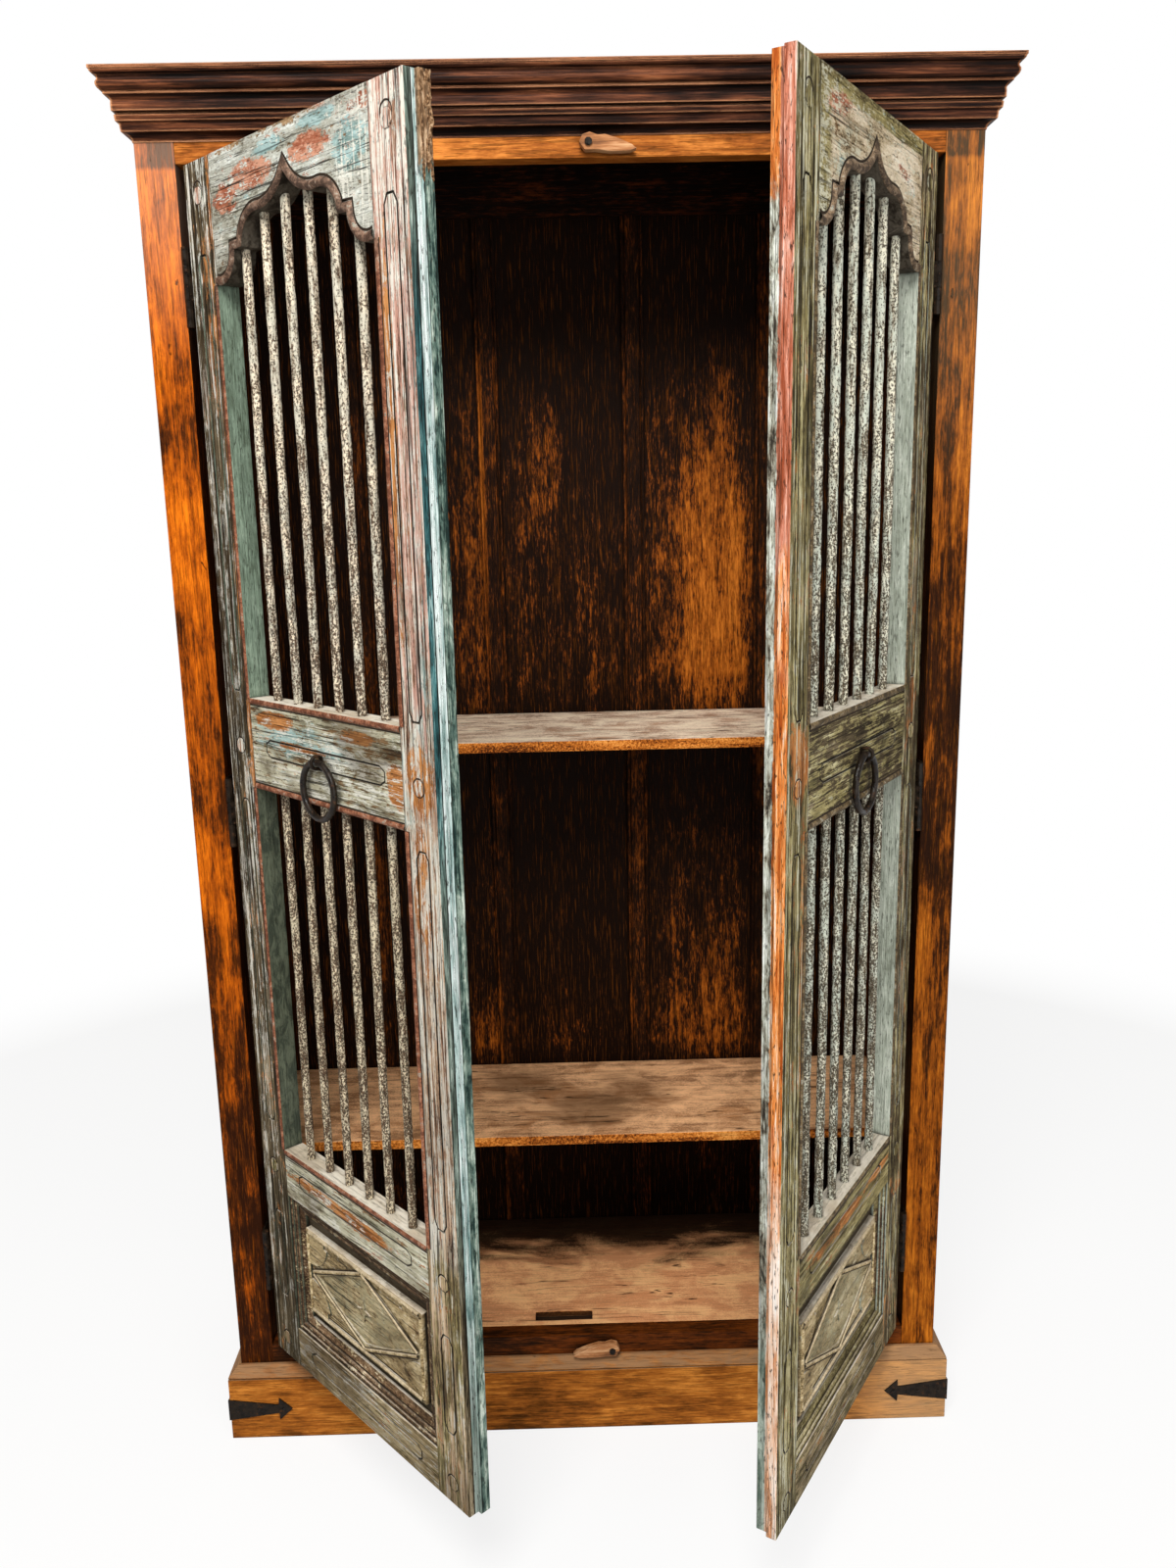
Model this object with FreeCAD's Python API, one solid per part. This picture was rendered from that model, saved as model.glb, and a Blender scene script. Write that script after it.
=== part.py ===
import FreeCAD, Part
import math
import os

# A tall two-door cabinet on a plinth, under a mitred cornice. Its doors are old window
# doors, each with a cusped arch, iron bars and a carved panel. Sizes are in millimetres.
# +X is to the right, +Y to the back and +Z up. Shapes are drawn with Y = 0 in the plane
# of the posts' front faces. The part's origin is on the floor, under the middle of the
# thickness of the front plinth board, so every node is moved back by half of it.

# Carcass frame
carcass_width = 1100.0
carcass_depth = 380.0
frame_height = 1962.0
post_face = 51.0
post_depth = 40.0
front_rail_thickness = 30.0
head_rail_height = 85.0
sill_bottom = 92.0
floor_top = 153.0
frame_tenon_length = 26.0
frame_tenon_thickness = 10.0
frame_tenon_shoulder = 8.0

# Sides
side_rail_thickness = 36.0
side_top_rail_height = 82.0
side_shelf_rail_height = 70.0
side_bottom_rail_bottom = 60.0
side_bottom_rail_top = 150.0
wall_panel_thickness = 10.0
wall_panel_tongue = 6.0
side_panel_setback = 13.0

# Back
back_frame_thickness = 28.0
back_setback = 9.0
back_top_rail_height = 82.0
back_bottom_rail_bottom = 62.0
back_panel_setback = 8.0
muntin_width = 34.0
muntin_centre_shares = (-0.69, -0.254, 0.214, 0.645)
muntin_bead = 5.0
muntin_groove = 2.0

# Boards
board_thickness = 16.0
board_gap = 1.0
shelf_setback = 70.0
upper_shelf_share = 0.5596
lower_shelf_share = 0.2355
cleat_width = 25.0
cleat_height = 22.0
bearer_width = 40.0
bearer_height = 30.0
bearer_centre_shares = (-0.72, 0.28, 0.72)
floor_mortise_centre = -38.0
floor_mortise_length = 92.0
floor_mortise_width = 22.0
floor_mortise_front = 42.0
floor_mortise_depth = 9.0

# Cornice. Each member ends at a share of the projection and of the height.
cornice_lap = 59.0
cornice_height = 81.0
cornice_projection = 38.0
cornice_start_share = 0.03
cornice_member_shares = (
    ("cove", 0.24, 0.12),
    ("flat", 0.30, 0.13),
    ("flat", 0.32, 0.22),
    ("cove", 0.42, 0.27),
    ("flat", 0.44, 0.36),
    ("flat", 0.38, 0.375),
    ("flat", 0.38, 0.395),
    ("flat", 0.50, 0.41),
    ("flat", 0.50, 0.52),
    ("cove", 0.64, 0.625),
    ("flat", 0.67, 0.63),
    ("flat", 0.67, 0.665),
    ("round", 0.83, 0.79),
    ("cove", 0.84, 0.885),
    ("round", 0.97, 0.95),
    ("flat", 1.0, 0.95),
    ("flat", 1.0, 1.0),
)
cornice_bulge_share = 0.22

# Plinth
plinth_thickness = 18.0
plinth_face_height = 104.0
plinth_height = 122.0
plinth_quirk = 2.5
plinth_top_flat = 5.0

# Iron corner straps and their nails. A leg's outline is in shares of length and width.
strap_length = 100.0
strap_width = 38.0
strap_thickness = 2.0
strap_centre_height = 52.0
strap_outline_shares = ((0.0, 0.47), (0.45, 0.31), (0.79, 0.19), (0.8, 0.5), (1.0, 0.0))
strap_nail_shares = (0.14, 0.47, 0.86)
nail_head_width = 8.0
nail_head_height = 2.0
nail_shank_width = 2.4
nail_length = 14.0

# Hinges
hinge_pin_inset = 5.0
hinge_pin_forward = 4.0
hinge_centre_shares = (0.914, 0.502, 0.087)
hinge_height = 100.0
hinge_leaf_thickness = 2.2
hinge_leaf_depth = 26.0
hinge_barrel_radius = 5.0
hinge_pin_radius = 2.0
hinge_running_gap = 0.06
hinge_knuckle_gap = 0.4
hinge_relief = 0.4
hinge_knuckle_count = 3

# Doors
door_side_gap = 10.4
door_meeting_gap = 1.1
door_sill_gap = 2.5
door_head_gap = 3.0
door_thickness = 30.0
door_lip_width = 6.0
door_lip_depth = 15.0
door_lip_gap = 1.0
door_rebate_width = 7.0
door_open_left_deg = 47.9
door_open_right_deg = 58.0
hinge_stile_width = 68.0
meeting_stile_width = 65.5
door_tenon_length = 50.0
door_tenon_thickness = 10.0
door_tenon_shoulder = 10.0
mid_rail_height = 125.0
mid_rail_share = 0.5656
lower_rail_height = 74.0
lower_rail_share = 0.1894
bottom_rail_height = 65.5

# Cusped arch. Each stretch runs to a share of the half width and of the height, an arc
# through a share on its way. The shares run from the foot to the crown.
arch_height = 101.0
arch_crown_margin = 53.0
arch_start_share = (-1.0, 0.0)
arch_stretch_shares = (
    ("arc", (-0.79, 0.09), (-0.723, 0.35)),
    ("line", None, (-0.62, 0.36)),
    ("arc", (-0.55, 0.60), (-0.395, 0.70)),
    ("arc", (-0.14, 0.79), (0.0, 1.0)),
)

# Incised grooves with round ends, by their margins from the rails and the arch's foot
groove_outer_width = 26.0
groove_line_width = 2.6
groove_depth = 2.0
stile_groove_margins = ((5.0, -43.0), (34.0, 18.0), (39.0, 36.0))
rail_groove_margin = 34.0

# Pegs through the joints
peg_radius = 11.0
peg_proud = 1.0
arch_peg_margin = 42.0
mid_peg_drop = 6.5

# Bars
bar_count = 6
bar_radius = 5.8
bar_seat = 14.0

# Carved panel and the moulding round it. The moulding's outline is in shares of its width
# from the frame inwards, and of the depth from the door's face to the panel board.
panel_thickness = 9.0
panel_tongue = 8.0
panel_board_depth = 17.0
moulding_width = 26.0
moulding_outline_shares = (
    (0.0, 0.15), (0.16, 0.15), (0.24, 0.34), (0.42, 0.34), (0.5, 0.5), (0.88, 0.72), (1.0, 0.72),
    (1.0, 1.0), (0.0, 1.0),
)
field_side_gap = 5.0
field_end_gap = 17.0
field_depth = 8.0
field_border = 7.0
carving_height = 2.5
lozenge_ridge = 8.0
lozenge_size_shares = (0.95, 0.95)
lozenge_bow_share = 0.04
star_radius = 17.0
star_waist_share = 0.3
star_points = 4
corner_lobe_share = 0.36
corner_notch = 9.0

# Ring pulls
ring_radius = 37.0
ring_wire_radius = 4.5
ring_axis_drop = 2.5
ring_standoff = 8.0
staple_wire_radius = 2.5
staple_gap = 1.0
staple_clench = 9.0

# Turn buttons. The outline is in shares of length from the pivot, and of half height.
button_length = 62.0
button_half_height = 12.0
button_outline_shares = (
    (-0.19, 0.0), (-0.12, 0.75), (0.03, 0.98), (0.19, 0.68), (0.36, 0.72), (0.62, 0.32), (0.9, -0.3),
    (1.0, -0.72), (0.86, -0.98), (0.45, -1.0), (0.14, -0.8), (-0.08, -0.82),
)
button_thickness = 14.0
button_standoff = 3.0
button_play = 0.25
button_hole_gap = 0.08
top_button_across = 34.0
top_button_rise = 15.0
bottom_button_across = 38.0
bottom_button_drop = 16.5
screw_radius = 2.2
screw_head_radius = 5.0
screw_head_height = 2.5
screw_depth = 22.0
washer_radius = 7.0

# Cutting shapes run past the faces that they cut by this much
overrun = 5.0

# Small round pieces and their holes are drawn with flats
bar_side_count = 8
peg_side_count = 8
pin_side_count = 6
eye_side_count = 12
ring_side_count = 24
ring_section_side_count = 6
groove_end_side_count = 3

# Places worked out from the sizes above
half_width = carcass_width / 2
opening_half = half_width - post_face
rear_post_front = carcass_depth - post_depth
side_rail_inner = half_width - side_rail_thickness
back_frame_back = carcass_depth - back_setback
back_frame_front = back_frame_back - back_frame_thickness
floor_bottom = floor_top - board_thickness
upper_shelf_top = upper_shelf_share * frame_height
lower_shelf_top = lower_shelf_share * frame_height
head_rail_bottom = frame_height - head_rail_height
cornice_bottom = frame_height - cornice_lap
hinge_pin_from_centre = opening_half - hinge_pin_inset
door_edge_from_centre = opening_half - door_side_gap
door_front_width = door_edge_from_centre - door_meeting_gap
door_bottom = floor_top + door_sill_gap
door_top = head_rail_bottom - door_head_gap
door_height = door_top - door_bottom
door_middle = door_thickness / 2
window_left = hinge_stile_width
window_right = door_front_width - meeting_stile_width
window_centre = (window_left + window_right) / 2
window_half = (window_right - window_left) / 2
bottom_rail_top = door_bottom + bottom_rail_height
bottom_rail_middle = door_bottom + bottom_rail_height / 2
lower_rail_middle = door_bottom + lower_rail_share * door_height
lower_rail_bottom = lower_rail_middle - lower_rail_height / 2
lower_rail_top = lower_rail_middle + lower_rail_height / 2
mid_rail_middle = door_bottom + mid_rail_share * door_height
mid_rail_bottom = mid_rail_middle - mid_rail_height / 2
mid_rail_top = mid_rail_middle + mid_rail_height / 2
ring_axis_height = mid_rail_middle - ring_axis_drop
arch_crown = door_top - arch_crown_margin
arch_foot = arch_crown - arch_height
panel_middle = (bottom_rail_top + lower_rail_bottom) / 2
field_width = 2 * (window_half - moulding_width - field_side_gap)
field_height = lower_rail_bottom - bottom_rail_top - 2 * (moulding_width + field_end_gap)
top_button_pivot = (top_button_across, head_rail_bottom + top_button_rise)
bottom_button_pivot = (bottom_button_across, floor_top - bottom_button_drop)

LEFT = -1
RIGHT = 1
SIDE_NAMES = {LEFT: "left", RIGHT: "right"}
X_AXIS = FreeCAD.Vector(1, 0, 0)
Y_AXIS = FreeCAD.Vector(0, 1, 0)
Z_AXIS = FreeCAD.Vector(0, 0, 1)
ORIGIN = FreeCAD.Vector(0, 0, 0)


def box(x0, x1, y0, y1, z0, z1):
    return Part.makeBox(x1 - x0, y1 - y0, z1 - z0, FreeCAD.Vector(x0, y0, z0))


def prism(points, travel):
    """A flat outline of points, closed and pushed along the vector travel."""
    outline = Part.makePolygon(list(points) + [points[0]])
    return Part.Face(outline).extrude(travel)


def rod(foot, travel, radius, sides):
    """A bar with flat sides. Its corners lie on the radius."""
    ahead = FreeCAD.Vector(travel).normalize()
    across = Y_AXIS if abs(ahead.x) > abs(ahead.y) + abs(ahead.z) else X_AXIS
    up = ahead.cross(across)
    points = []
    for index in range(sides):
        angle = 2 * math.pi * (index + 0.5) / sides
        points.append(foot + across * (radius * math.cos(angle)) + up * (radius * math.sin(angle)))
    return prism(points, travel)


def bore_radius(radius, sides):
    """The corner radius of a hole whose flats clear a rod by no less than the given radius."""
    return radius / math.cos(math.pi / sides)


def joined(shapes):
    return shapes[0].fuse(list(shapes[1:])).removeSplitter()


def less(shape, tools):
    return shape.cut(list(tools)) if tools else shape


def mirrored(shape):
    return shape.mirror(ORIGIN, X_AXIS)


def both_sides(shape):
    return [shape, mirrored(shape)]


def save(name, shapes):
    """Write the solids of one node, moved so that the origin is under the plinth board."""
    solids = []
    for shape in shapes:
        for solid in shape.Solids:
            solids.append(solid.translated(FreeCAD.Vector(0, plinth_thickness / 2, 0)))
    whole = solids[0] if len(solids) == 1 else Part.makeCompound(solids)
    whole.exportStep("parts/" + name + ".step")


# Carcass frame
def front_post(tenons, panels):
    post = box(-half_width, -opening_half, 0, post_depth, 0, frame_height)
    return less(post, tenons + panels)


def rear_post(tenons, panels):
    post = box(-half_width, -opening_half, rear_post_front, carcass_depth, 0, frame_height)
    return less(post, tenons + panels)


def cross_tenons(y_middle, z0, z1):
    """The tenons at both ends of a rail that runs from post to post along X."""
    half = frame_tenon_thickness / 2
    tenon = box(
        -opening_half - frame_tenon_length, -opening_half,
        y_middle - half, y_middle + half,
        z0 + frame_tenon_shoulder, z1 - frame_tenon_shoulder,
    )
    return both_sides(tenon)


def front_rail(z0, z1):
    rail = box(-opening_half, opening_half, 0, front_rail_thickness, z0, z1)
    return joined([rail] + cross_tenons(front_rail_thickness / 2, z0, z1))


def side_rail_spans():
    """The bottom and top of each rail of a side: floor, two shelves and top."""
    spans = [(side_bottom_rail_bottom, side_bottom_rail_top)]
    for shelf_top in (lower_shelf_top, upper_shelf_top):
        spans.append((shelf_top - side_shelf_rail_height, shelf_top))
    spans.append((frame_height - side_top_rail_height, frame_height))
    return spans


def side_tenons(span):
    """The tenons of a side rail, one into each post."""
    middle = side_rail_inner + side_rail_thickness / 2
    half = frame_tenon_thickness / 2
    tenons = []
    for y0 in (post_depth - frame_tenon_length, rear_post_front):
        tenons.append(box(
            -middle - half, -middle + half, y0, y0 + frame_tenon_length,
            span[0] + frame_tenon_shoulder, span[1] - frame_tenon_shoulder,
        ))
    return tenons


def side_rail(span, panels):
    rail = box(-half_width, -side_rail_inner, post_depth, rear_post_front, span[0], span[1])
    return less(joined([rail] + side_tenons(span)), panels)


def side_panels():
    """Three boards held in the grooves of the rails and posts."""
    outer = half_width - side_panel_setback
    spans = side_rail_spans()
    panels = []
    for below, above in zip(spans, spans[1:]):
        panels.append(box(
            -outer, -outer + wall_panel_thickness,
            post_depth - wall_panel_tongue, rear_post_front + wall_panel_tongue,
            below[1] - wall_panel_tongue, above[0] + wall_panel_tongue,
        ))
    return panels


def back_rail_spans():
    return [(back_bottom_rail_bottom, floor_bottom), (frame_height - back_top_rail_height, frame_height)]


def back_tenons():
    middle = back_frame_front + back_frame_thickness / 2
    tenons = []
    for z0, z1 in back_rail_spans():
        tenons += cross_tenons(middle, z0, z1)
    return tenons


def back_rails(panels):
    middle = back_frame_front + back_frame_thickness / 2
    rails = []
    for z0, z1 in back_rail_spans():
        rail = box(-opening_half, opening_half, back_frame_front, back_frame_back, z0, z1)
        rails.append(less(joined([rail] + cross_tenons(middle, z0, z1)), panels))
    return rails


def muntin_body(share):
    """An upright between the back panels, butted between the rails."""
    centre = share * opening_half
    half = muntin_width / 2
    return box(
        centre - half, centre + half, back_frame_front, back_frame_back,
        floor_bottom, frame_height - back_top_rail_height,
    )


def muntin_grooves(share):
    """The quirk beside each edge bead of a back upright."""
    centre = share * opening_half
    grooves = []
    for side in (LEFT, RIGHT):
        edge = centre + side * (muntin_width / 2 - muntin_bead)
        grooves.append(box(
            edge - muntin_groove / 2, edge + muntin_groove / 2,
            back_frame_front - overrun, back_frame_front + muntin_groove,
            floor_bottom, frame_height - back_top_rail_height,
        ))
    return grooves


def back_panels():
    edges = [-opening_half]
    for share in muntin_centre_shares:
        edges.append(share * opening_half - muntin_width / 2)
        edges.append(share * opening_half + muntin_width / 2)
    edges.append(opening_half)
    front = back_frame_front + back_panel_setback
    panels = []
    for x0, x1 in zip(edges[0::2], edges[1::2]):
        panels.append(box(
            x0 - wall_panel_tongue, x1 + wall_panel_tongue, front, front + wall_panel_thickness,
            floor_bottom - wall_panel_tongue,
            frame_height - back_top_rail_height + wall_panel_tongue,
        ))
    return panels


# Boards
def inner_board(y_front, z_top):
    """A board from side to side, notched round the posts."""
    half = side_rail_inner - board_gap
    board = box(
        -half, half, y_front, back_frame_front - board_gap, z_top - board_thickness, z_top,
    )
    room = []
    for y0, y1 in ((-board_gap, post_depth), (rear_post_front, carcass_depth)):
        room += both_sides(box(
            -half_width, -opening_half + board_gap, y0 - board_gap, y1 + board_gap,
            z_top - board_thickness - overrun, z_top + overrun,
        ))
    return less(board, room)


def floor_board():
    mortise = box(
        floor_mortise_centre - floor_mortise_length / 2,
        floor_mortise_centre + floor_mortise_length / 2,
        floor_mortise_front, floor_mortise_front + floor_mortise_width,
        floor_top - floor_mortise_depth, floor_top + overrun,
    )
    return less(inner_board(front_rail_thickness, floor_top), [mortise])


def floor_bearers():
    bearers = []
    for share in bearer_centre_shares:
        centre = share * opening_half
        bearers.append(box(
            centre - bearer_width / 2, centre + bearer_width / 2,
            front_rail_thickness, back_frame_front, floor_bottom - bearer_height, floor_bottom,
        ))
    return bearers


def shelf_cleats():
    cleats = []
    for shelf_top in (lower_shelf_top, upper_shelf_top):
        top = shelf_top - board_thickness
        cleats += both_sides(box(
            -side_rail_inner, -side_rail_inner + cleat_width,
            shelf_setback + board_gap, rear_post_front - board_gap, top - cleat_height, top,
        ))
    return cleats


def top_board():
    return box(-half_width, half_width, 0, carcass_depth, frame_height, frame_height + board_thickness)


# Mouldings that run round the front and sides, mitred at the corners
def moulding_point(out, up):
    return FreeCAD.Vector(0, -out, up)


def bulged_arc(start, end, bulge):
    """An arc from start to end that stands off its chord by a share of the chord."""
    along = end - start
    off = FreeCAD.Vector(0, along.z, -along.y) * bulge
    return Part.Arc(start, (start + end) * 0.5 + off, end).toShape()


def cornice_outline():
    """The section of the cornice, bottom to top and back down the wall face."""
    at = moulding_point(cornice_start_share * cornice_projection, cornice_bottom)
    wall_bottom = moulding_point(0, cornice_bottom)
    edges = [Part.makeLine(wall_bottom, at)]
    for kind, out_share, up_share in cornice_member_shares:
        to = moulding_point(
            out_share * cornice_projection, cornice_bottom + up_share * cornice_height,
        )
        if kind == "flat":
            edges.append(Part.makeLine(at, to))
        else:
            sign = 1 if kind == "cove" else -1
            edges.append(bulged_arc(at, to, sign * cornice_bulge_share))
        at = to
    wall_top = moulding_point(0, at.z)
    edges.append(Part.makeLine(at, wall_top))
    edges.append(Part.makeLine(wall_top, wall_bottom))
    return Part.Face(Part.Wire(edges))


def plinth_outline():
    """The section of the plinth: an upright face, a quirk and a sloping cap."""
    points = [
        (0, 0), (plinth_thickness, 0), (plinth_thickness, plinth_face_height),
        (plinth_thickness - plinth_quirk, plinth_face_height),
        (plinth_thickness - plinth_quirk, plinth_face_height + plinth_quirk),
        (plinth_thickness, plinth_face_height + plinth_quirk),
        (plinth_top_flat, plinth_height), (0, plinth_height),
    ]
    corners = [moulding_point(out, up) for out, up in points]
    return Part.Face(Part.makePolygon(corners + [corners[0]]))


def moulding_front(section, projection):
    """The front run of a moulding, cut at the corners along the mitres."""
    reach = projection + overrun
    run = section.translated(FreeCAD.Vector(-half_width - reach, 0, 0))
    run = run.extrude(FreeCAD.Vector(carcass_width + 2 * reach, 0, 0))
    corners = [
        FreeCAD.Vector(-half_width, 0, 0), FreeCAD.Vector(-half_width - reach, -reach, 0),
        FreeCAD.Vector(half_width + reach, -reach, 0), FreeCAD.Vector(half_width, 0, 0),
    ]
    return run.common(prism(corners, FreeCAD.Vector(0, 0, frame_height + cornice_height)))


def moulding_left(section, projection):
    """The left run of a moulding, from the mitre to the back of the carcass."""
    reach = projection + overrun
    turned = section.copy()
    turned.rotate(ORIGIN, Z_AXIS, -90)
    run = turned.translated(FreeCAD.Vector(-half_width, -reach, 0))
    run = run.extrude(FreeCAD.Vector(0, carcass_depth + reach, 0))
    corners = [
        FreeCAD.Vector(-half_width, 0, 0), FreeCAD.Vector(-half_width - reach, -reach, 0),
        FreeCAD.Vector(-half_width - reach, carcass_depth, 0),
        FreeCAD.Vector(-half_width, carcass_depth, 0),
    ]
    return run.common(prism(corners, FreeCAD.Vector(0, 0, frame_height + cornice_height)))


# Corner straps and nails
def strap_leg():
    """The front leg of the left strap, lying on the plinth's face."""
    corner = -half_width - plinth_thickness - strap_thickness
    upper = []
    lower = []
    for length_share, width_share in strap_outline_shares:
        x = corner + length_share * strap_length
        upper.append(FreeCAD.Vector(x, -plinth_thickness, strap_centre_height + width_share * strap_width))
        lower.append(FreeCAD.Vector(x, -plinth_thickness, strap_centre_height - width_share * strap_width))
    outline = upper + lower[-2::-1]
    return prism(outline, FreeCAD.Vector(0, -strap_thickness, 0))


def swung_to_side(shape):
    """Turn a shape on the front of the left corner to the same place on its side."""
    return shape.mirror(FreeCAD.Vector(-half_width, 0, 0), FreeCAD.Vector(1, -1, 0))


def corner_strap(nails):
    leg = strap_leg()
    return less(joined([leg, swung_to_side(leg)]), nails)


def nail(x):
    """A forged nail, square in the shank, driven through the strap into the plinth."""
    face = -plinth_thickness - strap_thickness
    half = nail_head_width / 2
    rim = Part.makePolygon([
        FreeCAD.Vector(x - half, face, strap_centre_height),
        FreeCAD.Vector(x, face, strap_centre_height + half),
        FreeCAD.Vector(x + half, face, strap_centre_height),
        FreeCAD.Vector(x, face, strap_centre_height - half),
        FreeCAD.Vector(x - half, face, strap_centre_height),
    ])
    tip = Part.Vertex(FreeCAD.Vector(x, face - nail_head_height, strap_centre_height))
    head = Part.makeLoft([tip, rim], True, True)
    shank = box(
        x - nail_shank_width / 2, x + nail_shank_width / 2, face, face + nail_length,
        strap_centre_height - nail_shank_width / 2, strap_centre_height + nail_shank_width / 2,
    )
    return head.fuse(shank)


def corner_nails():
    corner = -half_width - plinth_thickness - strap_thickness
    nails = []
    for share in strap_nail_shares:
        front = nail(corner + share * strap_length)
        nails.append(front)
        nails.append(swung_to_side(front))
    return nails


# Hinges, drawn for the left side with the door closed
def knuckle_spans(centre_height, on_door):
    """The spans of the knuckles that belong to the door's leaf or to the post's."""
    step = hinge_height / hinge_knuckle_count
    bottom = centre_height - hinge_height / 2
    spans = []
    for index in range(hinge_knuckle_count):
        if (index % 2 == 1) == on_door:
            z0 = bottom + index * step
            spans.append((z0 + hinge_knuckle_gap / 2, z0 + step - hinge_knuckle_gap / 2))
    return spans


def hinge_leaf(centre_height, on_door):
    pin = FreeCAD.Vector(-hinge_pin_from_centre, -hinge_pin_forward, 0)
    if on_door:
        x1 = -door_edge_from_centre
        x0 = x1 - hinge_leaf_thickness
        bore = bore_radius(hinge_pin_radius + hinge_running_gap, pin_side_count)
    else:
        x0 = -opening_half
        x1 = x0 + hinge_leaf_thickness
        bore = hinge_pin_radius
    clear = pin.y + hinge_barrel_radius + hinge_relief
    bottom = centre_height - hinge_height / 2
    pieces = [box(x0, x1, clear, hinge_leaf_depth, bottom, bottom + hinge_height)]
    bores = []
    for z0, z1 in knuckle_spans(centre_height, on_door):
        foot = FreeCAD.Vector(pin.x, pin.y, z0)
        travel = Z_AXIS * (z1 - z0)
        pieces.append(rod(foot, travel, hinge_barrel_radius, peg_side_count))
        pieces.append(box(x0, x1, pin.y, clear, z0, z1))
        bores.append(rod(foot, travel, bore, pin_side_count))
    return less(joined(pieces), bores)


def hinge_pin(centre_height):
    foot = FreeCAD.Vector(-hinge_pin_from_centre, -hinge_pin_forward, centre_height - hinge_height / 2)
    return rod(foot, Z_AXIS * hinge_height, hinge_pin_radius, pin_side_count)


def hinge_centre_heights():
    return [door_bottom + share * door_height for share in hinge_centre_shares]


def hinge_pins():
    return [hinge_pin(height) for height in hinge_centre_heights()]


def hinge_leaves(on_door):
    return [hinge_leaf(height, on_door) for height in hinge_centre_heights()]


# Doors. X runs from the hinge edge to the meeting edge and Y from the front face back.
def hung(shape, side):
    """Move a shape from the closed left door's place to its own side and rest angle."""
    turned = mirrored(shape) if side == RIGHT else shape.copy()
    angle = door_open_right_deg if side == RIGHT else -door_open_left_deg
    pin = FreeCAD.Vector(side * hinge_pin_from_centre, -hinge_pin_forward, 0)
    turned.rotate(pin, Z_AXIS, angle)
    return turned


def set_in_door(shape, side):
    return hung(shape.translated(FreeCAD.Vector(-door_edge_from_centre, 0, 0)), side)


def round_ended_slot(middle_x, middle_z, length, width, upright):
    """A flat shape with rounded ends, standing in the door's front face."""
    radius = width / 2
    reach = length / 2 - radius
    along = Z_AXIS if upright else X_AXIS
    across = X_AXIS if upright else Z_AXIS
    centre = FreeCAD.Vector(middle_x, 0, middle_z)
    points = []
    for end in (1, -1):
        for index in range(groove_end_side_count + 1):
            angle = math.pi * index / groove_end_side_count
            points.append(
                centre + along * (end * (reach + radius * math.sin(angle)))
                + across * (end * radius * math.cos(angle))
            )
    return points


def incised_groove(middle_x, middle_z, length, upright):
    """The line cut round a slot shape."""
    outer = round_ended_slot(middle_x, middle_z, length, groove_outer_width, upright)
    inner_width = groove_outer_width - 2 * groove_line_width
    inner = round_ended_slot(middle_x, middle_z, length - 2 * groove_line_width, inner_width, upright)
    travel = Y_AXIS * groove_depth
    return prism(outer, travel).cut(prism(inner, travel))


def stile_groove_spans():
    """The bottom and top of each groove on a stile, from the upper window down."""
    rooms = (
        (mid_rail_top, arch_foot), (lower_rail_top, mid_rail_bottom),
        (bottom_rail_top, lower_rail_bottom),
    )
    spans = []
    for (low, high), (low_margin, high_margin) in zip(rooms, stile_groove_margins):
        spans.append((low + low_margin, high - high_margin))
    return spans


def stile_grooves(middle_x):
    grooves = []
    for z0, z1 in stile_groove_spans():
        grooves.append(incised_groove(middle_x, (z0 + z1) / 2, z1 - z0, True))
    return grooves


def rail_groove(middle_z):
    length = 2 * (window_half - rail_groove_margin)
    return incised_groove(window_centre, middle_z, length, False)


def door_tenons(z0, z1):
    y0 = door_middle - door_tenon_thickness / 2
    y1 = y0 + door_tenon_thickness
    low = z0 + door_tenon_shoulder
    high = z1 - door_tenon_shoulder
    return [
        box(window_left - door_tenon_length, window_left, y0, y1, low, high),
        box(window_right, window_right + door_tenon_length, y0, y1, low, high),
    ]


def all_door_tenons():
    spans = [
        (arch_foot + arch_height / 2, door_top), (mid_rail_bottom, mid_rail_top),
        (lower_rail_bottom, lower_rail_top), (door_bottom, bottom_rail_top),
    ]
    tenons = []
    for z0, z1 in spans:
        tenons += door_tenons(z0, z1)
    return tenons


def stile_middles():
    return (hinge_stile_width / 2, window_right + meeting_stile_width / 2)


def joint_pegs():
    heights = (door_top - arch_peg_margin, mid_rail_middle - mid_peg_drop, lower_rail_middle, bottom_rail_middle)
    pegs = []
    for x in stile_middles():
        for z in heights:
            foot = FreeCAD.Vector(x, -peg_proud, z)
            pegs.append(rod(foot, Y_AXIS * (door_thickness + peg_proud), peg_radius, peg_side_count))
    return pegs


def bar_places():
    """Bars spaced evenly, with the same gap between the last bar and the stile."""
    spacing = (window_right - window_left) / (bar_count + 1)
    return [window_left + index * spacing for index in range(1, bar_count + 1)]


def arch_edges():
    """The arch line from the left foot over the crown to the right foot."""
    def at(share):
        return FreeCAD.Vector(
            window_centre + share[0] * window_half, 0, arch_foot + share[1] * arch_height,
        )

    def other(share):
        return at((-share[0], share[1]))

    left_edges = []
    right_edges = []
    start = arch_start_share
    for kind, way, end in arch_stretch_shares:
        if kind == "arc":
            left_edges.append(Part.Arc(at(start), at(way), at(end)).toShape())
            right_edges.insert(0, Part.Arc(other(end), other(way), other(start)).toShape())
        else:
            left_edges.append(Part.makeLine(at(start), at(end)))
            right_edges.insert(0, Part.makeLine(other(end), other(start)))
        start = end
    return left_edges + right_edges


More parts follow.
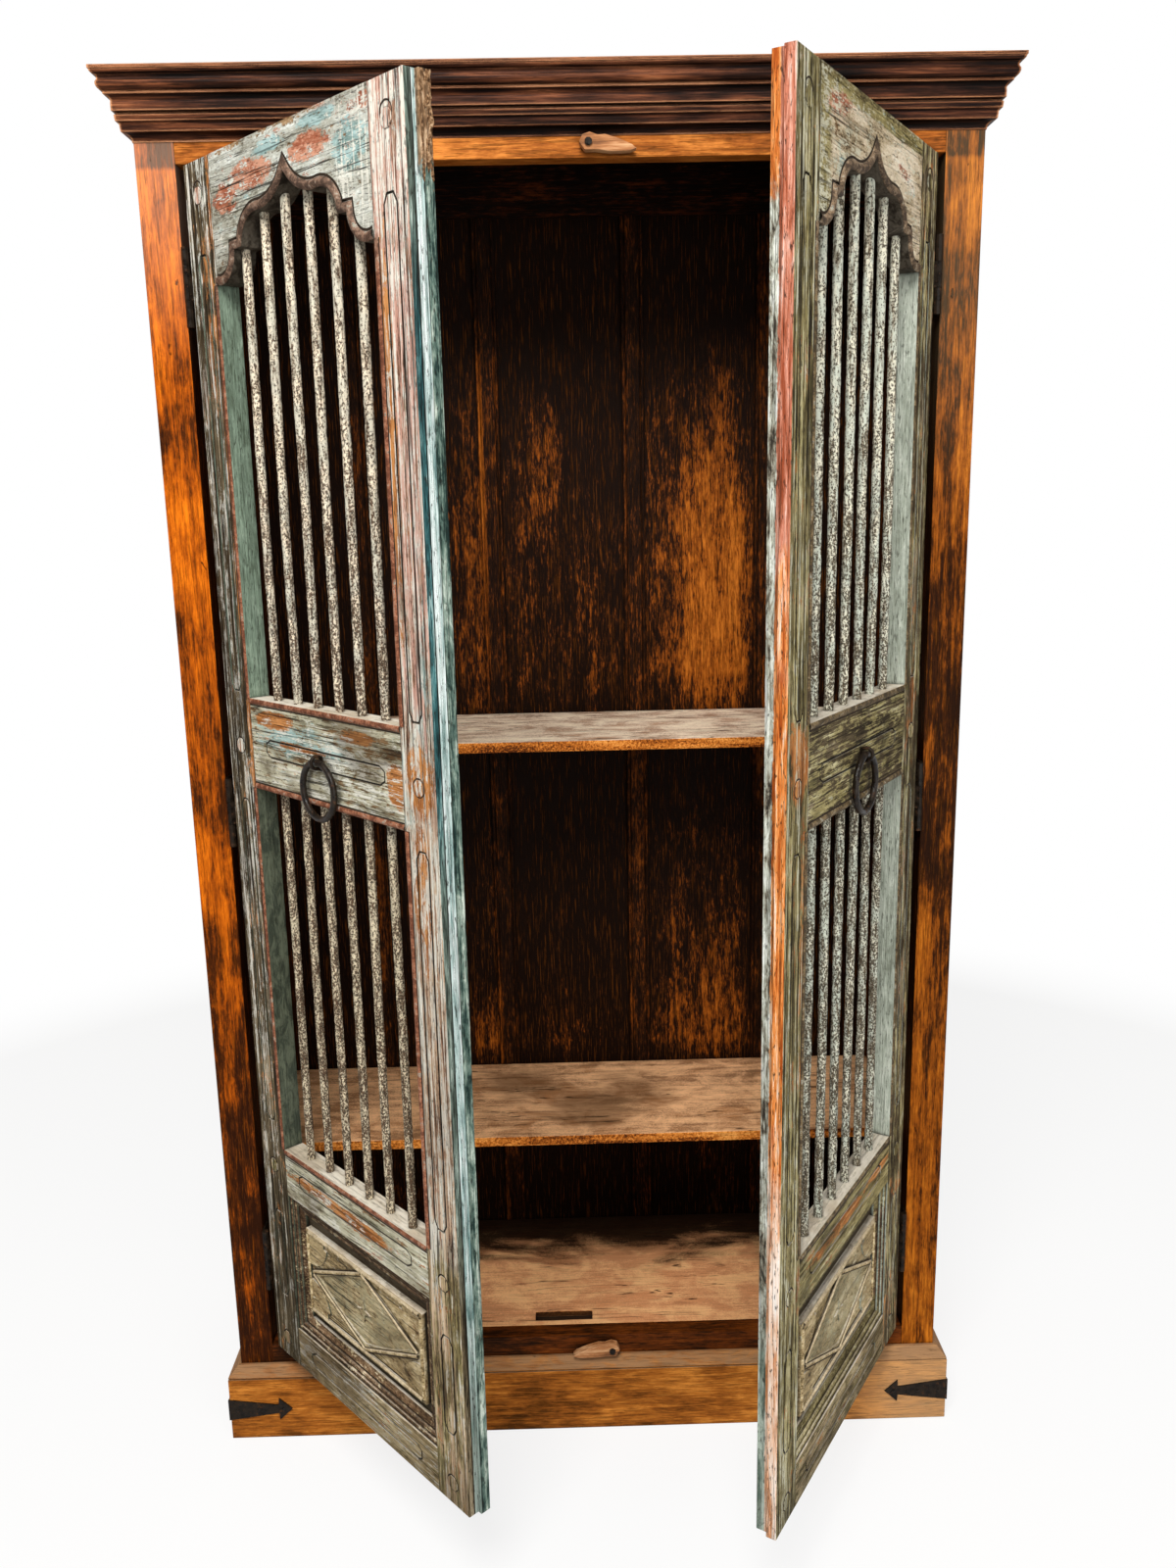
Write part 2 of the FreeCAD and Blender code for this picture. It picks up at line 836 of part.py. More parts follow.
def arch_wire(drop):
    """The arch line closed by straight sides and a straight foot that much lower."""
    edges = arch_edges()
    left = FreeCAD.Vector(window_left, 0, arch_foot)
    right = FreeCAD.Vector(window_right, 0, arch_foot)
    down = FreeCAD.Vector(0, 0, -drop)
    edges.append(Part.makeLine(right, right + down))
    edges.append(Part.makeLine(right + down, left + down))
    edges.append(Part.makeLine(left + down, left))
    return Part.Wire(edges)


def arch_height_at(x):
    """The height of the arch line over one place in the window's width."""
    probe = Part.makeLine(
        FreeCAD.Vector(x, 0, arch_foot - overrun), FreeCAD.Vector(x, 0, door_top),
    )
    heights = []
    for edge in arch_edges():
        gap, pairs, info = edge.distToShape(probe)
        heights.append((gap, pairs[0][0].z))
    return min(heights)[1]


def bars():
    """Iron bars through the middle rail, seated in the lower rail and the arch rail."""
    rods = []
    for x in bar_places():
        z0 = lower_rail_top - bar_seat
        z1 = arch_height_at(x) + bar_seat
        foot = FreeCAD.Vector(x, door_middle, z0)
        rods.append(rod(foot, Z_AXIS * (z1 - z0), bar_radius, bar_side_count))
    return rods


def arch_rail(rods, pegs):
    body = box(window_left, window_right, 0, door_thickness, arch_foot, door_top)
    depth = door_thickness + 2 * overrun
    hole = Part.Face(arch_wire(overrun)).extrude(FreeCAD.Vector(0, depth, 0))
    body = body.cut(hole.translated(FreeCAD.Vector(0, -overrun, 0)))
    body = joined([body] + door_tenons(arch_foot + arch_height / 2, door_top))
    return less(body, rods + pegs)


def plain_rail(z0, z1):
    body = box(window_left, window_right, 0, door_thickness, z0, z1)
    return joined([body] + door_tenons(z0, z1))


def panel_board():
    return box(
        window_left - panel_tongue, window_right + panel_tongue,
        panel_board_depth, panel_board_depth + panel_thickness,
        bottom_rail_top - panel_tongue, lower_rail_bottom + panel_tongue,
    )


def hinge_stile(pegs):
    body = box(0, hinge_stile_width, 0, door_thickness, door_bottom, door_top)
    cuts = all_door_tenons() + pegs + [panel_board()] + stile_grooves(stile_middles()[0])
    return less(body, cuts)


def meeting_stile(side, pegs):
    """The left stile has a lip at its back edge, and the right one a rebate for it."""
    body = box(window_right, door_front_width, 0, door_thickness, door_bottom, door_top)
    if side == LEFT:
        lip = box(
            door_front_width, door_front_width + door_lip_width,
            door_lip_depth, door_thickness, door_bottom, door_top,
        )
        body = joined([body, lip])
    else:
        rebate = box(
            door_front_width - door_rebate_width, door_front_width + overrun,
            door_lip_depth - door_lip_gap, door_thickness + overrun,
            door_bottom - overrun, door_top + overrun,
        )
        body = body.cut(rebate)
    cuts = all_door_tenons() + pegs + [panel_board()] + stile_grooves(stile_middles()[1])
    return less(body, cuts)


def panel_frame():
    """Four mitred strips of stepped moulding round the panel."""
    x0, x1, z0, z1 = window_left, window_right, bottom_rail_top, lower_rail_bottom
    reach = moulding_width
    strips = []
    runs = (
        (x0, z0, 1, 0, x1 - x0), (x1, z0, 0, 1, z1 - z0),
        (x1, z1, -1, 0, x1 - x0), (x0, z1, 0, -1, z1 - z0),
    )
    for x, z, ex, ez, length in runs:
        along = FreeCAD.Vector(ex, 0, ez)
        inward = FreeCAD.Vector(-ez, 0, ex)
        corner = FreeCAD.Vector(x, 0, z)
        section = []
        for in_share, depth_share in moulding_outline_shares:
            section.append(
                corner + inward * (in_share * moulding_width)
                + FreeCAD.Vector(0, depth_share * panel_board_depth, 0)
            )
        strip = prism(section, along * length)
        mitre = prism(
            [
                corner, corner + along * length,
                corner + along * (length - reach) + inward * reach,
                corner + along * reach + inward * reach,
            ],
            FreeCAD.Vector(0, panel_board_depth, 0),
        )
        strips.append(strip.common(mitre))
    return strips


def field_plate(half_x, half_z, y0, y1):
    return box(
        window_centre - half_x, window_centre + half_x, y0, y1,
        panel_middle - half_z, panel_middle + half_z,
    )


def lozenge_plate(half_x, half_z, y0, y1):
    """A four-sided leaf with sides that bow outwards."""
    centre = FreeCAD.Vector(window_centre, y0, panel_middle)
    tips = [
        centre + FreeCAD.Vector(-half_x, 0, 0), centre + FreeCAD.Vector(0, 0, half_z),
        centre + FreeCAD.Vector(half_x, 0, 0), centre + FreeCAD.Vector(0, 0, -half_z),
    ]
    edges = []
    for start, end in zip(tips, tips[1:] + tips[:1]):
        middle = (start + end) * 0.5
        out = middle - centre
        edges.append(Part.Arc(start, middle + out * (2 * lozenge_bow_share), end).toShape())
    return Part.Face(Part.Wire(edges)).extrude(FreeCAD.Vector(0, y1 - y0, 0))


def star_cut(y0, y1):
    """A four-pointed flower sunk in the middle of the lozenge."""
    centre = FreeCAD.Vector(window_centre, y0, panel_middle)
    points = []
    for index in range(2 * star_points):
        radius = star_radius if index % 2 == 0 else star_radius * star_waist_share
        angle = math.pi * index / star_points
        points.append(centre + FreeCAD.Vector(radius * math.cos(angle), 0, radius * math.sin(angle)))
    return prism(points, FreeCAD.Vector(0, y1 - y0, 0))


def corner_lobes(y0, y1):
    """A raised quarter lobe in each corner of the field, with a square bite out of it."""
    half_x = field_width / 2 - field_border
    half_z = field_height / 2 - field_border
    radius = corner_lobe_share * field_height
    lobes = []
    for sx in (-1, 1):
        for sz in (-1, 1):
            corner = FreeCAD.Vector(window_centre + sx * half_x, y0, panel_middle + sz * half_z)
            lobe = Part.makeCylinder(radius, y1 - y0, corner, Y_AXIS)
            inside = box(
                min(corner.x, corner.x - sx * radius), max(corner.x, corner.x - sx * radius), y0, y1,
                min(corner.z, corner.z - sz * radius), max(corner.z, corner.z - sz * radius),
            )
            bite_x = corner.x - sx * radius
            bite = box(
                bite_x - corner_notch, bite_x + corner_notch, y0 - overrun, y1 + overrun,
                corner.z - corner_notch, corner.z + corner_notch,
            )
            lobes.append(lobe.common(inside).cut(bite))
    return lobes


def carved_panel():
    """A board with a raised field, a border, a lozenge, a flower and corner lobes."""
    front = field_depth
    carved = field_depth + carving_height
    block = field_plate(field_width / 2, field_height / 2, front, panel_board_depth)
    inner = (field_width / 2 - field_border, field_height / 2 - field_border)
    sunk = field_plate(inner[0], inner[1], front, carved)
    lozenge_half = (inner[0] * lozenge_size_shares[0], inner[1] * lozenge_size_shares[1])
    leaf = lozenge_plate(lozenge_half[0], lozenge_half[1], front, carved)
    hollow_half = (lozenge_half[0] - 2 * lozenge_ridge, lozenge_half[1] - lozenge_ridge)
    hollow = lozenge_plate(hollow_half[0], hollow_half[1], front, carved)
    ground = sunk.cut([leaf] + corner_lobes(front, carved))
    petals = star_cut(front, carved)
    return joined([panel_board(), block.cut([ground, hollow.cut(petals)])])


# Ring pulls
def ring_point(turn, corner):
    """A corner of the ring's section, at one step round the ring."""
    round_ring = 2 * math.pi * (turn + 0.5) / ring_side_count
    round_wire = 2 * math.pi * (corner + 0.5) / ring_section_side_count
    out = ring_radius + ring_wire_radius * math.cos(round_wire)
    return FreeCAD.Vector(
        window_centre + out * math.cos(round_ring),
        -ring_standoff + ring_wire_radius * math.sin(round_wire),
        ring_axis_height - ring_radius + out * math.sin(round_ring),
    )


def ring_pull():
    """A forged iron ring that hangs in its staple, parallel to the door's face."""
    faces = []
    for turn in range(ring_side_count):
        for corner in range(ring_section_side_count):
            points = [
                ring_point(turn, corner), ring_point(turn + 1, corner),
                ring_point(turn + 1, corner + 1), ring_point(turn, corner + 1),
            ]
            faces.append(Part.Face(Part.makePolygon(points + points[:1])))
    ring = Part.Solid(Part.Shell(faces))
    if ring.Volume < 0:
        ring.reverse()
    return ring


def staple():
    """An iron eye with a square shank through the middle rail, clenched over at the back."""
    inner = ring_wire_radius + staple_gap
    outer = inner + 2 * staple_wire_radius
    width = 2 * staple_wire_radius
    start = FreeCAD.Vector(window_centre - staple_wire_radius, -ring_standoff, ring_axis_height)
    bore = rod(start, X_AXIS * width, bore_radius(inner, eye_side_count), eye_side_count)
    eye = rod(start, X_AXIS * width, outer, eye_side_count)
    low = ring_axis_height - staple_wire_radius
    high = ring_axis_height + staple_wire_radius
    shank = box(start.x, start.x + width, start.y + inner, door_thickness, low, high)
    clench = box(
        window_centre - staple_clench, window_centre + staple_clench,
        door_thickness, door_thickness + staple_wire_radius, low, high,
    )
    return joined([eye, shank, clench]).cut(bore)


# Turn buttons, drawn pointing to +X with the pivot at the origin
def button_blank(side):
    """A whittled latch that tapers from its pivot. The lower one points the other way."""
    points = []
    for length_share, height_share in button_outline_shares:
        x = length_share * button_length
        z = height_share * button_half_height
        points.append(FreeCAD.Vector(side * x, 0, z))
    return prism(points, Y_AXIS * -button_thickness)


def turn_button(pivot, side):
    radius = bore_radius(screw_radius + button_hole_gap, pin_side_count)
    hole = rod(Y_AXIS * overrun, Y_AXIS * (-button_thickness - 2 * overrun), radius, pin_side_count)
    blank = button_blank(side).cut(hole)
    place = FreeCAD.Vector(pivot[0], -button_standoff - button_play, pivot[1])
    return blank.translated(place)


def button_screw(pivot):
    """A screw with a washer behind the button and a low head in front of it."""
    centre = FreeCAD.Vector(pivot[0], 0, pivot[1])
    head_at = button_standoff + button_thickness + 2 * button_play
    travel = Y_AXIS * (-screw_depth - head_at)
    washer = rod(centre, Y_AXIS * -button_standoff, washer_radius, peg_side_count)
    shank = rod(centre + Y_AXIS * screw_depth, travel, screw_radius, pin_side_count)
    head = rod(centre - Y_AXIS * head_at, Y_AXIS * -screw_head_height, screw_head_radius, peg_side_count)
    return joined([washer, shank, head])


def build_carcass():
    side_boards = side_panels()
    back_boards = back_panels()
    side_joints = []
    for span in side_rail_spans():
        side_joints += side_tenons(span)
    front_joints = cross_tenons(front_rail_thickness / 2, head_rail_bottom, frame_height)
    front_joints += cross_tenons(front_rail_thickness / 2, sill_bottom, floor_top)
    left_front = front_post(side_joints + front_joints, side_boards)
    left_rear = rear_post(side_joints + back_tenons(), side_boards + back_boards)
    save("left_front_post", [left_front])
    save("right_front_post", [mirrored(left_front)])
    save("left_rear_post", [left_rear])
    save("right_rear_post", [mirrored(left_rear)])

    screws = [button_screw(top_button_pivot), button_screw(bottom_button_pivot)]
    save("head_rail", [less(front_rail(head_rail_bottom, frame_height), screws)])
    save("sill_rail", [less(front_rail(sill_bottom, floor_top), screws)])
    save("turn_button_screws", screws)

    left_rails = [side_rail(span, side_boards) for span in side_rail_spans()]
    save("left_side_rails", left_rails)
    save("right_side_rails", [mirrored(rail) for rail in left_rails])
    save("left_side_panels", side_boards)
    save("right_side_panels", [mirrored(board) for board in side_boards])

    save("back_rails", back_rails(back_boards))
    muntins = []
    for share in muntin_centre_shares:
        muntins.append(less(muntin_body(share), back_boards + muntin_grooves(share)))
    save("back_muntins", muntins)
    save("back_panels", back_boards)


def build_boards():
    save("floor_board", [floor_board()])
    save("floor_bearers", floor_bearers())
    save("upper_shelf", [inner_board(shelf_setback, upper_shelf_top)])
    save("lower_shelf", [inner_board(shelf_setback, lower_shelf_top)])
    save("shelf_cleats", shelf_cleats())
    save("top_board", [top_board()])


def build_mouldings():
    cornice_side = moulding_left(cornice_outline(), cornice_projection)
    save("cornice_front", [moulding_front(cornice_outline(), cornice_projection)])
    save("cornice_left", [cornice_side])
    save("cornice_right", [mirrored(cornice_side)])

    nails = corner_nails()
    right_nails = [mirrored(shape) for shape in nails]
    plinth_side = less(moulding_left(plinth_outline(), plinth_thickness), nails)
    plinth_front = moulding_front(plinth_outline(), plinth_thickness)
    save("plinth_front", [less(plinth_front, nails + right_nails)])
    save("plinth_left", [plinth_side])
    save("plinth_right", [mirrored(plinth_side)])
    strap = corner_strap(nails)
    save("corner_strap_left", [strap])
    save("corner_strap_right", [mirrored(strap)])
    save("strap_nails", nails + right_nails)


def build_hinges():
    post_leaves = hinge_leaves(False)
    save("hinge_post_leaves", post_leaves + [mirrored(leaf) for leaf in post_leaves])
    save("hinge_pins", hinge_pins() + [mirrored(pin) for pin in hinge_pins()])
    door_leaves = hinge_leaves(True)
    for side, name in SIDE_NAMES.items():
        save(name + "_hinge_door_leaves", [hung(leaf, side) for leaf in door_leaves])


def build_door(side):
    """One door, every piece set in its frame and swung to its rest angle."""
    name = SIDE_NAMES[side]
    pegs = joint_pegs()
    rods = bars()
    eye = staple()
    mid = less(
        plain_rail(mid_rail_bottom, mid_rail_top),
        pegs + rods + [eye, rail_groove(ring_axis_height)],
    )
    lower = less(
        plain_rail(lower_rail_bottom, lower_rail_top),
        pegs + rods + [panel_board(), rail_groove(lower_rail_middle)],
    )
    bottom = less(
        plain_rail(door_bottom, bottom_rail_top),
        pegs + [panel_board(), rail_groove(bottom_rail_middle)],
    )
    pieces = {
        "hinge_stile": [hinge_stile(pegs)],
        "meeting_stile": [meeting_stile(side, pegs)],
        "arch_rail": [arch_rail(rods, pegs)],
        "mid_rail": [mid],
        "lower_rail": [lower],
        "bottom_rail": [bottom],
        "carved_panel": [carved_panel()],
        "panel_moulding": panel_frame(),
        "door_bars": rods,
        "joint_pegs": pegs,
        "ring_staple": [eye],
        "ring_pull": [ring_pull()],
    }
    for piece, shapes in pieces.items():
        save(name + "_" + piece, [set_in_door(shape, side) for shape in shapes])


def build_buttons():
    save("top_turn_button", [turn_button(top_button_pivot, RIGHT)])
    save("bottom_turn_button", [turn_button(bottom_button_pivot, LEFT)])


os.makedirs("parts", exist_ok=True)
build_carcass()
build_boards()
build_mouldings()
build_hinges()
build_door(LEFT)
build_door(RIGHT)
build_buttons()
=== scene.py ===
from cmath import phase, rect
from math import cos, hypot, pi, radians, sin

import bpy
from mathutils import Matrix, Vector, noise


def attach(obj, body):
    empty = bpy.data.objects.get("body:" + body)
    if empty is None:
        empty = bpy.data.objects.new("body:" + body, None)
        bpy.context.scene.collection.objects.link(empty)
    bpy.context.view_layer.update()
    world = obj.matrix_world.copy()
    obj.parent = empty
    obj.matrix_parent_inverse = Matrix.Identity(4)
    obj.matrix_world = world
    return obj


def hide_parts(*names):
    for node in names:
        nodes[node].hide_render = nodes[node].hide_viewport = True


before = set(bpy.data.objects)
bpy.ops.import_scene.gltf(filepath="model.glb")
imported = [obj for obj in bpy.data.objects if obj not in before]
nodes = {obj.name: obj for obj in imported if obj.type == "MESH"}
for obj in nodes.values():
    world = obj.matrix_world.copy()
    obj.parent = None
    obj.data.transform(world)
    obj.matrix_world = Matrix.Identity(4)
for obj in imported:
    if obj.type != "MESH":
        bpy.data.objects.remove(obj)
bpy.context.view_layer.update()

scene = bpy.context.scene
scene.view_settings.view_transform = "Standard"

# The doors: where their pins and hinge edges are, how far they stand open, and their parts
PIN = (0.494, 0.005)
EDGE = 0.4886
ROW_SHIFT = 0.009
OPEN = {"left": radians(-47.9), "right": radians(58.0)}
WINDOW_LEFT, WINDOW_RIGHT = 0.068, 0.422
WINDOW_MIDDLE = (WINDOW_LEFT + WINDOW_RIGHT) / 2
WINDOW_HALF = (WINDOW_RIGHT - WINDOW_LEFT) / 2
MID_RAIL = (1.06498, 1.18998)
LOWER_RAIL_TOP = 0.51798
ARCH_FOOT, ARCH_HEIGHT = 1.72, 0.101
STILE_MIDDLES = {"hinge": 0.034, "meeting": 0.4548}
PEG_HEIGHTS = (1.838, 1.12095, 0.48095, 0.18825)
RING_HEIGHT = 1.124984
RAIL_MIDDLES = {"mid": (RING_HEIGHT,), "low": (0.48098, 0.18825)}
GROOVE_HALF = 0.0136
PANEL_MIDDLE = 0.33249
FIELD_HALF = (0.146, 0.0685)
MOULDING_HALF = (0.177, 0.1115)
LOZENGE_HALF = (0.13, 0.057)
BARS = 6
BAR_RADIUS, BAR_DEPTH = 0.0058, 0.015


# Places on a door: s from the hinge edge, t back from the front face, z up
def door_axes(side):
    sign = -1 if side == "left" else 1
    turn = Matrix.Rotation(OPEN[side], 3, "Z")
    along = turn @ Vector((-sign, 0, 0))
    back = turn @ Vector((0, 1, 0))
    pin = Vector((sign * PIN[0], PIN[1], 0))
    corner = pin + turn @ (Vector((sign * EDGE, ROW_SHIFT, 0)) - pin)
    return corner, along, back


AXES = {side: door_axes(side) for side in OPEN}


def on_door(side, s, t, z):
    corner, along, back = AXES[side]
    return corner + along * s + back * t + Vector((0, 0, z))


def add(name, data):
    made = bpy.data.objects.new(name, data)
    scene.collection.objects.link(made)
    return made


def guide(name, body, matrix=None):
    """An empty that textures take their coordinates from, and that rides on a body."""
    empty = add(name, None)
    if matrix is not None:
        empty.matrix_world = matrix
    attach(empty, body)
    return empty


def door_guide(side):
    corner, along, back = AXES[side]
    matrix = Matrix((along, back, Vector((0, 0, 1)))).transposed().to_4x4()
    matrix.translation = corner
    return guide(side + "_guide", side + "_door", matrix)


carcass_guide = guide("carcass_guide", "carcass")
door_guides = {side: door_guide(side) for side in OPEN}


# Camera
def make_camera():
    yaw, pitch, roll = 0.0143, -0.2141, -0.02
    data = bpy.data.cameras.new("camera")
    data.sensor_width = 36
    data.lens = 28.934
    data.clip_start = 0.05
    camera = add("camera", data)
    level = Matrix.Translation((-0.0078, -1.7573, 1.4314)) @ Matrix.Rotation(-yaw, 4, "Z")
    camera.matrix_world = level @ Matrix.Rotation(pi / 2 + pitch, 4, "X") @ Matrix.Rotation(roll, 4, "Z")
    scene.camera = camera


# Shader graphs
class Value:
    """An output in a shader graph that takes part in sums. Of two values, a | b is the greater."""

    def __init__(self, graph, socket):
        self.graph = graph
        self.socket = socket

    def __abs__(self):
        return self.graph.math("ABSOLUTE", self)

    def step(self, low, high, after=1.0, before=0.0):
        """A smooth change between two levels, from the amount before to the amount after."""
        return self.graph.value("MapRange", self, low, high, before, after, interpolation_type="SMOOTHSTEP")

    def band(self, low, high, soft):
        return self.step(low - soft, low + soft) * self.step(high + soft, high - soft)


# The maths nodes that + - * and | of two values make
for sign, kind in (("add", "ADD"), ("sub", "SUBTRACT"), ("mul", "MULTIPLY"), ("or", "MAXIMUM")):
    setattr(Value, "__" + sign + "__", lambda a, b, kind=kind: a.graph.math(kind, a, b))


class Graph:
    """The nodes of a material, with the place and the normal as its guide sees them."""

    def __init__(self, name, origin, along="z", seed=0.0, owners=bpy.data.materials):
        self.owner = owners.new(name)
        self.owner.use_nodes = True
        self.tree = self.owner.node_tree
        self.tree.nodes.clear()
        self.along = along
        self.seed = seed
        coordinates = self.node("TexCoord", object=origin).outputs
        self.place = Value(self, coordinates["Object"])
        self.normal = Value(self, coordinates["Normal"])
        self.x, self.y, self.z = [Value(self, part) for part in self.node("SeparateXYZ", self.place).outputs]
        turned = [Value(self, part) for part in self.node("SeparateXYZ", self.normal).outputs]
        self.sideways, self.backwards, self.up = turned

    def put(self, socket, value):
        if isinstance(value, Value):
            self.tree.links.new(value.socket, socket)
        elif socket.type == "RGBA":
            socket.default_value = (*value, 1.0)
        else:
            socket.default_value = value

    def node(self, kind, *values, inputs={}, **settings):
        """A node with its first inputs in order and others by name."""
        made = self.tree.nodes.new("ShaderNode" + kind)
        for key, value in settings.items():
            setattr(made, key, value)
        for key, value in [*enumerate(values), *inputs.items()]:
            self.put(made.inputs[key], value)
        return made

    def value(self, kind, *values, out=0, **settings):
        return Value(self, self.node(kind, *values, **settings).outputs[out])

    def math(self, kind, *values):
        return self.value("Math", *values, operation=kind)

    def facing(self, direction):
        return self.value("VectorMath", self.normal, tuple(direction), out="Value", operation="DOT_PRODUCT")

    def rays(self, *kinds):
        """Whether a ray is of one of these kinds."""
        found = self.node("LightPath").outputs
        return greatest(Value(self, found["Is " + kind + " Ray"]) for kind in kinds)

    def blend(self, level, *parts):
        """A level with weighted noises added about it."""
        for part, weight in parts:
            level = self.math("MULTIPLY_ADD", part - 0.5, weight, level)
        return level

    def spot(self, s, z, wide, high):
        """A soft round place on a face, 1 in its middle."""
        across = (self.x - s) * (1 / wide)
        along = (self.z - z) * (1 / high)
        return (across * across + along * along).step(1.6, 0.0)

    def spots(self, *places):
        return greatest(self.spot(*place) for place in places)

    def profile(self, value, *stops):
        """An amount that follows the stops along a value, between -0.5 and 0.5."""
        low, high = stops[0][0], stops[-1][0]
        greys = [((at - low) / (high - low), *[0.5 + amount] * 3) for at, amount in stops]
        return self.ramp(self.value("MapRange", value, low, high), *greys) - 0.5

    def noise(self, scales, seed, detail=4.0, rough=0.55, warp=0.0):
        """Noise on the place, with a scale in cycles a metre along each axis."""
        shift = (seed, seed * 0.7, seed * 1.3)
        moved = self.value("VectorMath", self.place, scales, shift, operation="MULTIPLY_ADD")
        settings = {"Scale": 1.0, "Detail": detail, "Roughness": rough, "Distortion": warp}
        return self.value("TexNoise", moved, inputs=settings)

    def grain(self, across, lengthwise, shift, *more):
        """Noise with one scale across the material's grain and another along it."""
        scales = [across, across, across]
        scales["xyz".index(self.along)] = lengthwise
        return self.noise(tuple(scales), self.seed + shift, *more)

    def mix(self, amount, a, b):
        return self.value("Mix", inputs={"Factor": amount, "A": a, "B": b}, out="Result", data_type="RGBA")

    def coats(self, base, *laid):
        """Tones laid one over another, each as far as its amount says."""
        for amount, tone in laid:
            base = self.mix(amount, base, tone)
        return base

    def ramp(self, amount, *stops):
        made = self.node("ValToRGB", amount)
        band = made.color_ramp
        while len(band.elements) < len(stops):
            band.elements.new(0.5)
        for element, (at, *tone) in zip(band.elements, stops):
            element.position = at
            element.color = (*tone, 1.0)
        return Value(self, made.outputs[0])

    def crevice_shade(self, distance):
        """How much a place is closed in by what is near it, for the painted shade and grime laid into
        crevices.
        """
        found = self.value("AmbientOcclusion", inputs={"Distance": distance}, out="AO", samples=4)
        return found.step(0.85, 0.35)

    def arris(self, radius):
        """How near a place is to a sharp edge."""
        rounded = self.value("Bevel", radius, samples=4)
        flat = self.value("NewGeometry", out="True Normal")
        same = self.value("VectorMath", flat, rounded, out="Value", operation="DOT_PRODUCT")
        return same.step(0.98, 0.8)

    def finish(self, shade, roughness, specular, height=None, depth=None):
        inputs = {"Base Color": shade, "Roughness": roughness, "Specular IOR Level": specular}
        if height is not None:
            bumps = {"Strength": 1.0, "Distance": depth, "Height": height}
            inputs["Normal"] = self.value("Bump", inputs=bumps)
        self.node("OutputMaterial", self.value("BsdfPrincipled", inputs=inputs))
        return self.owner


def greatest(values):
    found, *others = values
    for other in others:
        found = found | other
    return found


def shaded(tone, by):
    """A colour made darker or brighter."""
    return tuple(min(1.0, c * by) for c in tone)


# Materials of the carcass
def waxed_wood(
    name, along, light, dark, seed, shade=None, gloss=0.5, fleck=0.4, level=0.5, haze=None, calm=0.75,
    dusty=None, streaky=0.45,
):
    """Worn waxed hardwood: dark stain that has rubbed through to orange wood along the grain."""
    g = Graph(name, carcass_guide, along, seed)
    fibre = g.grain(480, 24, 0, 4.0, 0.65)
    streak = g.grain(110, 6, 5, 6.0, 0.64, 0.4)
    cloud = g.grain(12, 3.6, 9, 7.0, 0.66, 0.7)
    flecks = g.grain(360, 62, 13, 4.0, 0.7, 0.3)
    mottle = g.grain(46, 17, 11, 6.0, 0.68, 0.7)
    worn = g.blend(
        level, (cloud, 0.65 * calm), (mottle, 0.5 * calm), (streak, streaky * calm), (flecks, fleck * calm),
        (fibre, 0.3),
    )
    if shade is not None:
        worn = worn + shade(g)
    red = tuple(0.6 * l * k + 0.4 * d for l, d, k in zip(light, dark, (0.62, 0.5, 0.42)))
    orange = tuple(c * k for c, k in zip(light, (0.68, 0.6, 0.5)))
    pores = g.grain(520, 20, 17, 4.0, 0.66).step(0.55, 0.63)
    nicks = g.grain(60, 30, 21, 6.0, 0.68, 0.4).step(0.68, 0.7)
    base = g.coats(
        g.ramp(
            worn, (0.31, *shaded(dark, 0.35)), (0.4, *dark), (0.475, *red), (0.55, *orange), (0.63, *light),
            (0.74, *shaded(light, 1.3)),
        ),
        # Painted shade: faces that look in towards the middle of the cabinet are made nearly black
        ((g.x * g.sideways).step(-0.2, -0.35) * 0.98, shaded(dark, 0.2)),
        (pores * 0.7, tuple(0.25 * l + 0.3 * d for l, d in zip(light, dark))),
        (nicks * 0.85, shaded(dark, 0.3)),
        # Painted shade and grime in crevices
        (g.crevice_shade(0.012) * 0.75, shaded(dark, 0.25)),
    )
    if haze is not None:
        axis, low, high, share, tone = haze
        base = g.mix(getattr(g, axis).step(low, high, share), base, tone)
    if dusty is not None:
        base = g.mix(g.up.step(0.25, 0.6) * mottle.step(0.36, 0.56, 0.9, 0.45), base, dusty)
    height = g.blend(0.0, (fibre, 0.5), (streak, 0.8), (flecks, 0.3), (mottle, 0.8))
    height = height - (pores * 0.3 + nicks * 0.8)
    return g.finish(base, worn.step(0.35, 0.65, gloss, gloss + 0.1), 0.06, height, 0.0012)


def post_shade(seed, top, *stops):
    """Where a post is worn or dark along its height, and how dark its top is."""
    def shade(g):
        height = g.blend(g.z, (g.noise((14, 14, 7), seed, 4.0, 0.6), 0.25))
        return g.profile(height, *stops) + g.z.step(1.868, 1.876, top)

    return shade


left_post_shade = post_shade(
    77.0, -0.17,
    (0.1, -0.13), (0.34, -0.21), (0.47, -0.2), (0.6, -0.13), (0.83, -0.1), (0.95, -0.05), (1.06, -0.09),
    (1.27, -0.03), (1.37, 0.09), (1.475, -0.02), (1.57, -0.11), (1.667, 0.0), (1.76, 0.05), (1.9, 0.04),
)
right_post_shade = post_shade(
    83.0, -0.14,
    (0.1, 0.02), (0.35, 0.0), (0.55, -0.035), (0.8, -0.055), (0.93, -0.12), (1.06, -0.18), (1.18, -0.2),
    (1.3, -0.12), (1.41, -0.04), (1.52, -0.045), (1.7, -0.1), (1.77, -0.07), (1.81, 0.06), (1.9, 0.06),
)


def rear_shade(g):
    """Painted shade inside the cabinet: the rear posts' front faces are kept dark."""
    return g.facing((0, -1, 0)).step(0.5, 0.8, -0.3)


def plinth_dust(g):
    return g.blend(g.up.step(0.3, 0.7) * 0.06, (g.noise((7, 7, 14), 5.0, 4.0, 0.6, 0.6), 0.5))


